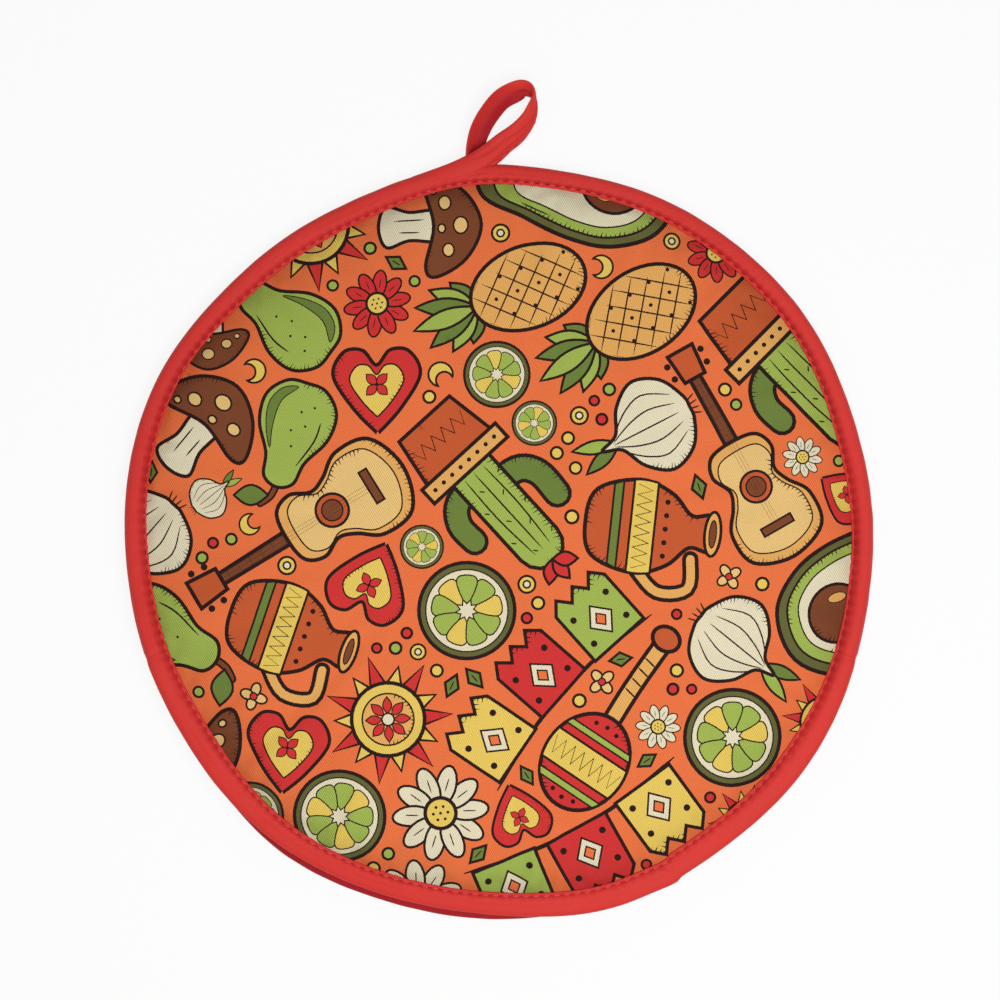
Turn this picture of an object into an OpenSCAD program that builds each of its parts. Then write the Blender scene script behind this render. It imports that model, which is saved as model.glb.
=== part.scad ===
// Round insulated tortilla warmer: two padded panels, bound with tape and sewn
// together round the top, with a mouth along the bottom and a hanging loop.
// It lies on its back, +Z up. The origin is the middle of the underside, and
// the loop points along +Y. Millimetres and degrees.

/* [Pouch] */
// Diameter over the binding
disc_d = 305; // [280:5:330]
// Height at the middle of the crown
crown_h = 18; // [17:0.5:24]
// How long the crown stays flat before it falls to the rim
crown_power = 2.6; // [2.2:0.1:4]
// Part of the rim that is left open as the mouth
mouth_arc = 144; // [130:2:160]
// Angle at which the front flap rests above the back panel
mouth_gape = 3; // [2.5:0.5:6]

/* [Panels] */
// Thickness of the printed cover cloth
cover_t = 0.6; // [0.4:0.1:0.8]
// Thickness of the wadding in the middle of a panel
wadding_t = 4; // [3.5:0.5:5]
// Thickness of the lining cloth
lining_t = 0.5; // [0.3:0.1:0.7]
// Thickness of a panel where it is pressed in the binding
rim_panel_t = 2.7; // [2.4:0.1:3.2]

/* [Binding] */
// Thickness of the folded tape
tape_t = 0.8; // [0.6:0.1:0.9]
// Width that shows where the tape holds both panels
rim_tape_w = 7.5; // [7:0.5:9]
// Width that shows where the tape holds one panel
lip_tape_w = 10; // [9:0.5:12]
// Space between the two lips at the ends of the mouth
lip_gap = 0.4; // [0.3:0.1:0.6]

/* [Stitching] */
// Width of a line of thread
thread_w = 0.6; // [0.4:0.1:0.8]
// Distance of the thread from the tape's inner edge
thread_inset = 0.8; // [0.6:0.1:1.2]
// Depth to which the thread sinks into the tape
thread_sunk = 0.3; // [0.2:0.05:0.4]
// Height of the thread above the tape
thread_proud = 0.15; // [0.1:0.05:0.3]

/* [Hanging loop] */
// Width of the loop's tape
loop_w = 9.2; // [8:0.2:9.6]
// Thickness of the loop's tape, folded double
loop_t = 1.8; // [1.4:0.1:2.2]
// Radius of the sewn tail that the loop turns about
tail_r = 2.8; // [2.5:0.1:2.9]

/* [Hidden] */

disc_r = disc_d / 2;
// The height where the mouth's ends meet the joined rim
mouth_y = -disc_r * cos(mouth_arc / 2);
panel_t = cover_t + wadding_t + lining_t;
rim_h = 2 * (rim_panel_t + tape_t);
lip_h = rim_panel_t + 2 * tape_t;
// Panels are flat from here out, so that the tape lies flat on them
bound_r = disc_r - lip_tape_w;
lift_r = bound_r - 8;
taper_r = bound_r - 24;
// Clearance of a panel's edge in the fold of the tape
fold_gap = 0.1;
// Clearance between the joined front and the flap
flap_gap = 0.3;

COVER = 0;
WADDING = 1;
LINING = 2;
stations = 16;

// A fold of tape is [height of its middle, radius inside it]. JOINED goes round
// both panels, and each lip of the mouth has one of its own.
JOINED = [rim_h / 2, rim_panel_t];
BACK_LIP = [lip_h / 2, rim_panel_t / 2];
FRONT_LIP = [lip_h * 1.5 + lip_gap, rim_panel_t / 2];

cover_orange = [0.87, 0.42, 0.26];
tape_red = [0.80, 0.22, 0.20];
thread_red = [0.70, 0.15, 0.15];
cloth_cream = [0.90, 0.86, 0.78];
wadding_white = [0.95, 0.95, 0.93];

function ease(u) = let (c = max(0, min(1, u))) c * c * (3 - 2 * c);

function back_face(r) = tape_t * ease((r - lift_r) / (bound_r - lift_r));

// The front cover runs from the crown down to the top of the fold that holds it
function front_face(r, fold) =
    let (rim_z = fold[0] + fold[1])
    rim_z + (crown_h - rim_z) * (1 - pow(min(r, bound_r) / bound_r, crown_power));

function panel_depth(r) =
    panel_t + (rim_panel_t - panel_t) * ease((r - taper_r) / (bound_r - taper_r));

// Depth of a layer's outer face below the panel's outer face
function layer_depth(layer, r) =
    [0, cover_t, panel_depth(r) - lining_t, panel_depth(r)][layer];

function front_z(layer, r, fold) = front_face(r, fold) - layer_depth(layer, r);

function back_z(layer, r) = back_face(r) + layer_depth(layer, r);

// Stations lie closer together towards the rim
function station_r(i) = bound_r * (1 - pow(1 - i / stations, 1.4));

// How far out a panel reaches in a fold at height z
function edge_r(z, fold) =
    disc_r - tape_t - fold[1] - fold_gap + sqrt(max(0, pow(fold[1], 2) - pow(z - fold[0], 2)));

function front_outline(layer, fold) =
    let (z0 = front_z(layer, bound_r, fold))
    let (z1 = front_z(layer + 1, bound_r, fold))
    concat(
        [for (i = [0 : stations]) [station_r(i), front_z(layer, station_r(i), fold)]],
        [for (i = [0 : 4]) let (z = z0 + (z1 - z0) * i / 4) [edge_r(z, fold), z]],
        [for (i = [stations : -1 : 0]) [station_r(i), front_z(layer + 1, station_r(i), fold)]]);

// The back panel's edge fits both the joined fold and its own lip
function back_outline(layer) =
    let (z0 = back_z(layer, bound_r))
    let (z1 = back_z(layer + 1, bound_r))
    concat(
        [for (i = [0 : stations]) [station_r(i), back_z(layer, station_r(i))]],
        [for (i = [0 : 4]) let (z = z0 + (z1 - z0) * i / 4)
            [min(edge_r(z, JOINED), edge_r(z, BACK_LIP)), z]],
        [for (i = [stations : -1 : 0]) [station_r(i), back_z(layer + 1, station_r(i))]]);

// Half a circle about the fold's middle, from the underside round to the top
function fold_arc(fold, r) =
    [for (a = [-90 : 15 : 90]) [disc_r - tape_t - fold[1] + r * cos(a), fold[0] + r * sin(a)]];

function reversed(list) = [for (i = [len(list) - 1 : -1 : 0]) list[i]];

function tape_outline(fold, width) =
    let (outer = fold[1] + tape_t)
    let (inner_edge = disc_r - width)
    concat([[inner_edge, fold[0] - outer]],
           fold_arc(fold, outer),
           [[inner_edge, fold[0] + outer], [inner_edge, fold[0] + fold[1]]],
           reversed(fold_arc(fold, fold[1])),
           [[inner_edge, fold[0] - fold[1]]]);

// Where the flap folds: the height of the crown over the mouth's ends
hinge_z = front_face(-mouth_y, FRONT_LIP) + 0.1;

// The middle of the loop's tape, from its front root round the tip and back down
// behind the rim. All the way round, the tape leans along LOOP_LEAN.
LOOP_POINTS = [[-9.5, 153.4, 5.2], [-3.4, 157.5, 5.2], [1.6, 161.3, 5.1], [7.9, 165.8, 5],
               [12.5, 171.2, 4.9], [14, 177.6, 4.8], [12, 182.8, 4.6], [7.2, 183.2, 4.4],
               [0.6, 179.8, 4.1], [-5.2, 173.4, 3.8], [-8.8, 167.2, 3.5], [-11, 161, 3.3],
               [-13.2, 155, 3.2]];
LOOP_LEAN = [-0.45, 0.77, 0.45];
loop_steps = 4;
tail_y = disc_r + 3.5;
tail_z = rim_h - tail_r;
tail_from_x = -15;
tail_to_x = 5;
loop_gap = 0.4;

function catmull(p, q, r, s, t) =
    (2 * q + (r - p) * t + (2 * p - 5 * q + 4 * r - s) * t * t
     + (3 * q - p - 3 * r + s) * t * t * t) / 2;

function loop_line() =
    let (last = len(LOOP_POINTS) - 1)
    concat([for (i = [0 : last - 1], j = [0 : loop_steps - 1])
                catmull(LOOP_POINTS[max(i - 1, 0)], LOOP_POINTS[i], LOOP_POINTS[i + 1],
                        LOOP_POINTS[min(i + 2, last)], j / loop_steps)],
           [LOOP_POINTS[last]]);

function unit(v) = v / norm(v);

// One ring of a strip along the loop: section points are [across, out of the face]
function loop_ring(line, i, section) =
    let (along = unit(line[min(i + 1, len(line) - 1)] - line[max(i - 1, 0)]))
    let (across = unit(LOOP_LEAN - (LOOP_LEAN * along) * along))
    let (face = cross(along, across))
    [for (p = section) line[i] + p[0] * across + p[1] * face];

module loop_strip(section) {
    line = loop_line();
    n = len(section);
    rings = len(line);
    points = [for (i = [0 : rings - 1]) each loop_ring(line, i, section)];
    sides = [for (i = [0 : rings - 2], j = [0 : n - 1])
                 let (a = i * n + j)
                 let (b = i * n + (j + 1) % n)
                 each [[a, b, b + n], [a, b + n, a + n]]];
    ends = [[for (j = [n - 1 : -1 : 0]) j], [for (j = [0 : n - 1]) (rings - 1) * n + j]];
    polyhedron(points = points, faces = concat(sides, ends), convexity = 8);
}

// What is past the sewn tail, where the loop can turn
module past_tail() {
    intersection() {
        children();
        translate([-50, tail_y + tail_r + loop_gap, -10])
            cube([100, 60, 40]);
    }
}

module joined_side() {
    intersection() {
        children();
        translate([-disc_d, mouth_y, -10])
            cube([2 * disc_d, disc_d, 60]);
    }
}

module mouth_side(gap = 0) {
    intersection() {
        children();
        translate([-disc_d, mouth_y - gap - disc_d, -10])
            cube([2 * disc_d, disc_d, 60]);
    }
}

// Lifts the flap to its rest angle about the fold
module at_gape() {
    translate([0, mouth_y, hinge_z])
        rotate([-mouth_gape, 0, 0])
            translate([0, -mouth_y, -hinge_z])
                children();
}

module back_layer(layer) {
    rotate_extrude($fn = 180)
        polygon(back_outline(layer));
}

module front_layer(layer, fold) {
    rotate_extrude($fn = 180)
        polygon(front_outline(layer, fold));
}

module joined_layer(layer) {
    joined_side() front_layer(layer, JOINED);
}

module flap_layer(layer) {
    at_gape() mouth_side(flap_gap) front_layer(layer, FRONT_LIP);
}

module thread_ring(r, z0, z1) {
    rotate_extrude($fn = 180)
        translate([r - thread_w / 2, z0])
            square([thread_w, z1 - z0]);
}

// A line of thread on the tape's top face and one on its underside
module stitching(fold, width) {
    r = disc_r - width + thread_inset;
    top = fold[0] + fold[1] + tape_t;
    bottom = fold[0] - fold[1] - tape_t;
    thread_ring(r, top - thread_sunk, top + thread_proud);
    thread_ring(r, bottom, bottom + thread_sunk);
}

module tape(fold, width) {
    difference() {
        rotate_extrude($fn = 180)
            polygon(tape_outline(fold, width));
        stitching(fold, width);
    }
}

module back_cover() {
    color(cover_orange) back_layer(COVER);
}

module back_wadding() {
    color(wadding_white) back_layer(WADDING);
}

module back_lining() {
    color(cloth_cream) back_layer(LINING);
}

module back_mouth_binding() {
    color(tape_red) mouth_side() tape(BACK_LIP, lip_tape_w);
}

module back_mouth_stitching() {
    color(thread_red) mouth_side() stitching(BACK_LIP, lip_tape_w);
}

module front_cover() {
    color(cover_orange) joined_layer(COVER);
}

module front_wadding() {
    color(wadding_white) joined_layer(WADDING);
}

module front_lining() {
    color(cloth_cream) joined_layer(LINING);
}

module front_cover_flap() {
    color(cover_orange) flap_layer(COVER);
}

module front_wadding_flap() {
    color(wadding_white) flap_layer(WADDING);
}

module front_lining_flap() {
    color(cloth_cream) flap_layer(LINING);
}

module front_mouth_binding() {
    color(tape_red) at_gape() mouth_side(flap_gap) tape(FRONT_LIP, lip_tape_w);
}

module front_mouth_stitching() {
    color(thread_red) at_gape() mouth_side(flap_gap) stitching(FRONT_LIP, lip_tape_w);
}

module rim_binding() {
    color(tape_red) joined_side() tape(JOINED, rim_tape_w);
}

module rim_stitching() {
    color(thread_red) joined_side() stitching(JOINED, rim_tape_w);
}

// The tape's end, sewn against the rim. The loop turns about its round outer edge.
module loop_tail() {
    length = tail_to_x - tail_from_x;
    web_h = tail_r * 1.4;
    color(tape_red) difference() {
        union() {
            translate([tail_from_x, tail_y, tail_z])
                rotate([0, 90, 0])
                    cylinder(r = tail_r, h = length, $fn = 48);
            translate([tail_from_x, tail_y - 8, tail_z - web_h / 2])
                cube([length, 8, web_h]);
        }
        rotate_extrude($fn = 180)
            polygon(concat([[0, 0]], fold_arc(JOINED, JOINED[1] + tape_t), [[0, rim_h]]));
    }
}

// Where the loop's line of thread lies across its tape, and how far off the tape it
// stays, so that it clears the tape's facets where the loop twists
loop_thread_u = -loop_w / 2 + 1.6;
thread_gap = 0.02;

module hanging_loop() {
    half_w = loop_w / 2;
    half_t = loop_t / 2;
    fold = half_t * 0.9;
    section = [[-half_w, 0], [fold - half_w, -half_t], [half_w - fold, -half_t], [half_w, 0],
               [half_w - fold, half_t], [loop_thread_u + thread_w / 2, half_t],
               [loop_thread_u - thread_w / 2, half_t], [fold - half_w, half_t]];
    color(tape_red) past_tail() loop_strip(section);
}

module loop_stitching() {
    low = loop_t / 2 + thread_gap;
    high = loop_t / 2 + thread_proud;
    near = loop_thread_u - thread_w / 2;
    far = loop_thread_u + thread_w / 2;
    color(thread_red) past_tail()
        loop_strip([[far, high], [near, high], [near, low], [far, low]]);
}

back_cover();
back_wadding();
back_lining();
back_mouth_binding();
back_mouth_stitching();
front_cover();
front_wadding();
front_lining();
front_cover_flap();
front_wadding_flap();
front_lining_flap();
front_mouth_binding();
front_mouth_stitching();
rim_binding();
rim_stitching();
loop_tail();
hanging_loop();
loop_stitching();
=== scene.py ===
"""Looks of a round cloth tortilla warmer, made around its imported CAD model.

Metres, +Z up. The pouch lies on its back, its mouth on the -Y side and its
hanging loop on the +Y side. Angles round the rim are in degrees from +X.
"""
import math

import bmesh
import bpy
import numpy as np
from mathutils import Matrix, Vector
from mathutils.geometry import delaunay_2d_cdt


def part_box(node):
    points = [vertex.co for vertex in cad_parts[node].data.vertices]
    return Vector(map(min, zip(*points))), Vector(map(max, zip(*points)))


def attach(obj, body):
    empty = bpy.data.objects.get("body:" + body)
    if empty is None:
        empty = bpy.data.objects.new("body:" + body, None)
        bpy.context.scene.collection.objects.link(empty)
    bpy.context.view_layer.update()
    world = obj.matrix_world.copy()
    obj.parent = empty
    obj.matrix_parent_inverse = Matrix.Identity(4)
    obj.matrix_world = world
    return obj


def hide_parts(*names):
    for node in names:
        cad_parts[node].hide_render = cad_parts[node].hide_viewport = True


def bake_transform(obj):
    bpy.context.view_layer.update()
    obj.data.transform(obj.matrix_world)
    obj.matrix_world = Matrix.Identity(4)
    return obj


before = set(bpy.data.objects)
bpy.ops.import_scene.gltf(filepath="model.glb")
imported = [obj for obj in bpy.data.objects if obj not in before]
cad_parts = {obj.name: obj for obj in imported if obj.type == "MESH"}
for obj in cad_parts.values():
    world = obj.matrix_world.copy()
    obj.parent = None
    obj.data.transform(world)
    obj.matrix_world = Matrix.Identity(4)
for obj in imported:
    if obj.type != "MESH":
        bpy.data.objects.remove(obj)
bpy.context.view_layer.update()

MM = 0.001

# ---------------------------------------------------------------- sizes
DISC_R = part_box("rim_binding")[1].y
MOUTH_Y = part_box("rim_binding")[0].y
JOINED_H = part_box("rim_binding")[1].z
LIP_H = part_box("back_mouth_binding")[1].z
CROWN_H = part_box("front_cover")[1].z
MOUTH_HALF = math.degrees(math.acos(-MOUTH_Y / DISC_R))
MOUTH_MIDDLE = 270.0

CROWN_POWER, CURL_POWER = 2.6, 1.6
GAPE = math.radians(3)
COVER_T = 0.6 * MM
LINING_T = 0.5 * MM
PANEL_T = 5.1 * MM
RIM_PANEL_T = 2.7 * MM
TAPE_T = 0.8 * MM
LIP_GAP = 0.4 * MM
TAPER_W = 14 * MM
FOLD_REACH = 3.6 * MM
STITCH_PITCH = 4.4 * MM
STITCH_LENGTH = 3.0 * MM
STITCH_INSET = 1.0 * MM
THREAD_R = 0.28 * MM
THREAD_RISE = 0.12 * MM
THREAD_DIVE = 0.8 * MM
THREAD_RINGS, THREAD_AROUND = 7, 6
STEPS_PER_STITCH = 9

# How far the real rim strays from a true circle: (angle, millimetres outward)
RIM_WOBBLE = [(0, -1.8), (20, -1.3), (35, 1.1), (50, 1.4), (66, 1.1), (80, -0.2), (98, 1.0),
              (108, -1.4), (122, -1.7), (138, -1.0), (155, 1.6), (170, 0.7), (182, -1.0),
              (205, -2.3), (217, -2.0), (232, 1.4), (246, 0.5), (258, -0.4), (268, 0.2), (276, 0.3),
              (285, 1.3), (296, 0.5), (308, -0.6), (323, 0.5), (335, -0.7), (350, -2.2)]
# Width of tape that shows on top: (angle, millimetres)
TAPE_WIDTH = [(0, 8.5), (15, 8.8), (30, 8.0), (45, 8.3), (60, 7.9), (80, 7.4), (95, 8.2),
              (110, 9.2), (130, 9.2), (150, 8.1), (165, 8.2), (180, 8.8), (195, 9.5), (215, 10.7),
              (228, 9.8), (240, 8.8), (264, 8.6), (276, 9.6), (290, 9.9), (305, 10.3), (325, 10.8),
              (345, 8.9)]
# Where the rim curls up and leaves a deep crease inside the tape: (angle, share)
RIM_CURL = [(0, 1.0), (25, 0.7), (50, 0.45), (90, 0.3), (125, 0.5), (147, 0.8), (165, 1.0),
            (195, 1.0), (212, 0.5), (238, 0.1), (292, 0.1), (318, 0.4), (342, 0.9)]
# How full the cover stands inside the tape before it dips to it: (angle, millimetres)
EDGE_SWELL = [(0, 1.6), (60, 1.8), (90, 2.2), (125, 3.2), (150, 2.6), (190, 1.5), (230, 2.4),
              (270, 3.0), (305, 2.2), (340, 1.5)]
EDGE_FULL = 6 * MM
# Where the back lip shows past the front one: (angle, millimetres)
BACK_PEEK = [(200, 0.0), (222, 0.6), (230, 2.6), (250, 3.2), (268, 3.0), (276, 1.8), (284, 0.1),
             (300, 0.0)]

# The one sharp corner in the bound edge, and the most puckered place, in degrees
KINK_DEG = 297.5
KINK_OUT = 0.9
KINK_DENT = 0.5 * MM
PUCKER_DEG = 272.0

# The covers' puckers near the tape, the fine pinches beside it, their slack waves with
# lengths in millimetres, and how far the edge is drawn down beneath the tape
PUCKER_DEPTH = 0.75 * MM
BACK_PUCKER_DEPTH = 0.3 * MM
PINCH_DEPTH = 0.06 * MM
PUCKER_PINCH_DEPTH = 0.4 * MM
SLACK_DEPTH = 0.45 * MM
SLACK_WAVES = 14
SLACK_LENGTHS = (45, 130)
EDGE_SINK = 0.35 * MM

# The tape's section in steps, how far its fold turns in degrees, and its relief: its rise
# where it curls, its puff, its creep, and what each stitch does to it
TOP_STEPS, FOLD_STEPS, UNDER_STEPS = 14, 9, 6
FOLD_TURN = 78
CURL_RISE = 2.8 * MM
PUFF_HEIGHT = 0.35 * MM
CREEP_HEIGHT = 0.16 * MM
STITCH_DIP = 0.42 * MM
GATHER_HEIGHT = 0.24 * MM
EDGE_UNEVEN = 0.06 * MM

# Over how many degrees the lips' height fades, the joined tape laps the lips' tapes, these
# go down beneath it, and the end of a tape thins
LIP_FADE = 18
LAP_HALF, LAP_FADE = 5, 4
TUCK_FADE = 1.6
TUCK_DEPTH = 0.45 * MM
END_TAPER = 0.9

# The hanging loop's tape, close to the CAD model's, run on over the rim at its front root
# and into the rim at its back root: (x, y, z, width) in millimetres
LOOP_PATH = [(-35.0, 144.9, 5.9, 6.2), (-26.5, 147.2, 6.7, 7.4), (-18.0, 149.7, 7.2, 8.6),
             (-9.7, 153.3, 7.0, 9.4), (-3.4, 157.3, 6.2, 9.7), (1.3, 161.2, 5.6, 9.4),
             (7.1, 165.6, 5.2, 9.2), (11.5, 171.1, 4.9, 8.2), (13.4, 176.6, 4.9, 7.4),
             (13.2, 181.0, 4.8, 7.4), (10.4, 183.5, 4.6, 8.2), (5.9, 182.6, 4.5, 9.2),
             (-0.2, 179.8, 4.2, 9.2), (-5.6, 173.5, 4.0, 9.2), (-9.3, 167.1, 3.8, 9.2),
             (-11.2, 161.0, 3.6, 9.0), (-12.0, 155.0, 3.5, 8.4), (-13.4, 150.0, 3.5, 7.6)]
# How steeply the tape stands across its width: (share of its length, rise)
LOOP_TILT = [(0, 0.45), (0.5, 0.5), (0.6, 0.45), (0.82, 0.35), (1, 0.3)]
LOOP_T = 1.8 * MM

# Seeds of the covers' layouts, and the colours as sRGB from 0 to 255
PRINT_SEEDS = {"front": 7, "back": 21}
PRINT = {"ground": (232, 114, 64), "ink": (32, 14, 12), "tan": (226, 168, 92),
         "sand": (229, 190, 120), "yellow": (228, 196, 92), "red": (206, 50, 48),
         "brick": (196, 88, 46), "lime": (158, 178, 80), "leaf": (106, 126, 56),
         "olive": (98, 98, 52), "cream": (226, 216, 184), "brown": (122, 66, 38)}
REVERSE_ORANGE = (232, 196, 172)
BINDING_RED = (213, 53, 47)
# Colour of painted shade on the tapes: in their creases, in the loop's hollow and where the back lip
# peeks out
PAINTED_SHADE_RED = (164, 18, 30)
THREAD_RED = (222, 84, 80)
LINING_CREAM = (226, 219, 202)
WADDING_WHITE = (240, 240, 236)


# ---------------------------------------------------------------- curves
RIM_WAVES = 16


def smooth(u):
    """A soft step from 0 to 1."""
    c = np.clip(u, 0, 1)
    return c * c * (3 - 2 * c)


def bump(x, width):
    """1 where x is 0, falling away to both sides over a width."""
    return np.exp(-(x / width) ** 2)


def fade(x, width):
    """1 up to where x is 0, falling away beyond it over a width."""
    return np.exp(-x.clip(0) / width)


def direction(deg):
    """Unit steps outward at angles round the rim."""
    angle = np.radians(deg)
    return np.stack([np.cos(angle), np.sin(angle)], -1)


def left_of(ahead):
    """Flat directions, each turned a quarter to the left."""
    return np.stack([-ahead[..., 1], ahead[..., 0]], -1)


def periodic(table):
    """A smooth curve round the rim through (angle, value) pairs, given an angle in degrees."""
    angles, values = zip(*table)
    whole = np.arange(360)
    spectrum = np.fft.rfft(np.interp(whole, angles, values, period=360))
    spectrum[RIM_WAVES:] = 0
    smoothed = np.fft.irfft(spectrum, 360)
    return lambda deg: np.interp(deg, whole, smoothed, period=360)


def ripple(seed, low, high):
    """A random wave round the rim, of low to high periods in all, between about -1 and 1."""
    rng = np.random.default_rng(seed)
    counts = np.arange(low, high + 1)
    phases = rng.uniform(0, 2 * math.pi, len(counts))
    sizes = rng.uniform(0.5, 1.0, len(counts)) / math.sqrt(len(counts))

    def wave(deg):
        angle = np.radians(np.asarray(deg, float))[..., None]
        return (np.cos(counts * angle + phases) * sizes).sum(-1)
    return wave


smooth_wobble = periodic(RIM_WOBBLE)
shown_width = periodic(TAPE_WIDTH)
curl = periodic(RIM_CURL)
peek = periodic(BACK_PEEK)
swollen = periodic(EDGE_SWELL)
pucker_wave = ripple(3, 30, 80)
slack_wave = ripple(5, 5, 14)
tape_wave = ripple(9, 40, 120)
tape_swell = ripple(13, 8, 22)
fine_pucker = ripple(17, 130, 210)


def kink(deg):
    """The one sharp corner in the bound edge, rising slowly and falling fast."""
    ahead = deg - KINK_DEG
    return np.where(ahead < 0, bump(ahead, 3.0), bump(ahead, 0.7))


def wobble(deg):
    return smooth_wobble(deg) + KINK_OUT * kink(deg)


def polar(x, y):
    return np.hypot(x, y), np.degrees(np.arctan2(y, x)) % 360


def off_mouth(deg):
    """Angle from the middle of the mouth, 0 to 180."""
    return np.abs((deg - MOUTH_MIDDLE + 180) % 360 - 180)


def lip_share(deg):
    """1 in the mouth, fading out along the joined rim."""
    return 1 - smooth((off_mouth(deg) - MOUTH_HALF) / LIP_FADE)


def lap_share(deg):
    """1 where the joined tape lies over the ends of the lips' tapes."""
    return 1 - smooth((np.abs(off_mouth(deg) - MOUTH_HALF - 1) - LAP_HALF) / LAP_FADE)


def tucked(deg):
    """1 for the lips' tapes where they run beneath the joined tape."""
    return smooth((off_mouth(deg) - MOUTH_HALF + TUCK_FADE) / TUCK_FADE)


def rim_r(deg):
    return DISC_R + wobble(deg) * MM


def front_lip_r(deg):
    return rim_r(deg) - (0.35 * tucked(deg) + 1.1 * np.maximum(peek(deg), 0)) * MM


def back_lip_r(deg):
    return rim_r(deg) + (0.4 * peek(deg) - 1.0 - 0.3 * tucked(deg)) * MM


def front_rim_r(deg):
    share = lip_share(deg)
    return rim_r(deg) * (1 - share) + front_lip_r(deg) * share


def tape_width(deg):
    return shown_width(deg) * MM


def tape_edge(deg):
    """Distance out to the inner edge of the tape on the front."""
    return front_rim_r(deg) - tape_width(deg)


def lip_tape_width(deg):
    return tape_width(deg) - 0.5 * MM * tucked(deg)


def lift(y):
    """How far the open mouth raises the front at y."""
    ahead = MOUTH_Y - y
    return math.tan(GAPE) * (np.sqrt(ahead ** 2 + (20 * MM) ** 2) + ahead) / 2


def front_rim_z(deg):
    """Height of the front cover under its tape."""
    joined = JOINED_H - TAPE_T
    lip = 2 * LIP_H + LIP_GAP - TAPE_T
    y = rim_r(deg) * np.sin(np.radians(deg))
    return joined + (lip - joined) * lip_share(deg) + lift(y)


def back_rim_z(deg):
    """Height of the back cover over its tape."""
    return TAPE_T * (1 + lap_share(deg))


def panel_depth(r, edge):
    return PANEL_T + (RIM_PANEL_T - PANEL_T) * smooth((r - edge + TAPER_W) / TAPER_W)


def slack(x, y, seed):
    """Gentle unevenness of padded cloth, between about -1 and 1."""
    rng = np.random.default_rng(seed)
    total = np.zeros_like(x)
    for _ in range(SLACK_WAVES):
        length = rng.uniform(*SLACK_LENGTHS) * MM
        angle, phase = rng.uniform(0, 2 * math.pi, 2)
        total += np.cos((x * math.cos(angle) + y * math.sin(angle)) * 2 * math.pi / length + phase)
    return total / math.sqrt(2 * SLACK_WAVES)


def front_crown(r, deg):
    """Height of the front's crown, steeper where the rim curls and full beside the tape."""
    edge = tape_edge(deg)
    low = front_rim_z(deg) - lift(edge * np.sin(np.radians(deg)))
    u = np.minimum(r / edge, 1)
    crown = low + (CROWN_H - low) * (1 - u ** (CROWN_POWER + CURL_POWER * curl(deg)))
    full = fade(edge - r, 3.5 * EDGE_FULL) - fade(edge - r, EDGE_FULL)
    return crown + swollen(deg) * MM * full


def front_puckers(off_tape, deg):
    """Puckers and fine pinches of the front cover near its tape, strongest at one place."""
    near = fade(off_tape, 11 * MM) * smooth(off_tape / (4 * MM))
    gather = 1 + 0.8 * slack_wave(deg) + 1.9 * bump(deg - PUCKER_DEG, 10)
    by_tape = fade(off_tape, 5 * MM) * smooth(off_tape / (2 * MM))
    pinch = PINCH_DEPTH + PUCKER_PINCH_DEPTH * bump(deg - PUCKER_DEG, 9)
    return PUCKER_DEPTH * pucker_wave(deg) * near * gather + pinch * fine_pucker(deg) * by_tape


def smooth_front(x, y):
    """Height of the front cover before its padding is simulated."""
    r, deg = polar(x, y)
    off_tape = tape_edge(deg) - r
    loose = SLACK_DEPTH * slack(x, y, 2) * smooth(off_tape / (30 * MM))
    beneath = EDGE_SINK * smooth(-off_tape / (1.2 * MM))
    return front_crown(r, deg) + lift(y) + front_puckers(off_tape, deg) + loose - beneath


def back_face(x, y):
    """Height of the back cover."""
    r, deg = polar(x, y)
    off_tape = rim_r(deg) - tape_width(deg) - r
    rise = smooth(1 - off_tape / (9 * MM))
    near = fade(off_tape, 9 * MM) * smooth(off_tape / (3 * MM))
    return back_rim_z(deg) * rise + BACK_PUCKER_DEPTH * near * (1 + pucker_wave(deg + 40)).clip(0)


# ---------------------------------------------------------------- mesh helpers
def make_object(name, points, faces, uv=None, material=None, painted_shade=None):
    """A smooth-shaded object. uv has a pair for each point, and painted_shade a depth of painted shade
    from 0 to 1.
    """
    mesh = bpy.data.meshes.new(name)
    mesh.from_pydata(np.asarray(points, float).tolist(), [], [list(map(int, f)) for f in faces])
    if uv is not None:
        corner = np.zeros(len(mesh.loops), np.int32)
        mesh.loops.foreach_get("vertex_index", corner)
        layer = mesh.uv_layers.new(name="cloth")
        layer.uv.foreach_set("vector", np.asarray(uv, np.float32)[corner].ravel())
    if painted_shade is not None:
        depth = np.clip(np.asarray(painted_shade, float), 0, 1)
        layer = mesh.color_attributes.new("painted_shade", "FLOAT_COLOR", "POINT")
        layer.data.foreach_set("color", np.repeat(depth, 4))
    mesh.shade_smooth()
    if material is not None:
        mesh.materials.append(material)
    piece = bpy.data.objects.new(name, mesh)
    bpy.context.scene.collection.objects.link(piece)
    return piece


def face_outward(piece):
    work = bmesh.new()
    work.from_mesh(piece.data)
    bmesh.ops.recalc_face_normals(work, faces=work.faces)
    work.to_mesh(piece.data)
    work.free()


def unit(v):
    return v / np.linalg.norm(v, axis=-1, keepdims=True)


def tube_faces(rings, around, capped):
    """Quads between rings of points, and strips over the two ends of an even number of points."""
    i, j = np.meshgrid(np.arange(rings - 1), np.arange(around), indexing="ij")
    here, across = i * around + j, i * around + (j + 1) % around
    quads = np.stack([here, across, across + around, here + around], -1).reshape(-1, 4)
    faces = quads.tolist()
    if capped:
        last = (rings - 1) * around
        half = around // 2
        ends = [[0, 1, around - 1]]
        ends += [[a - 1, a, around - a, around - a + 1] for a in range(2, half)]
        ends.append([half - 1, half, half + 1])
        for end in ends:
            faces.append(end[::-1])
            faces.append([last + k for k in end])
    return faces


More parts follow.
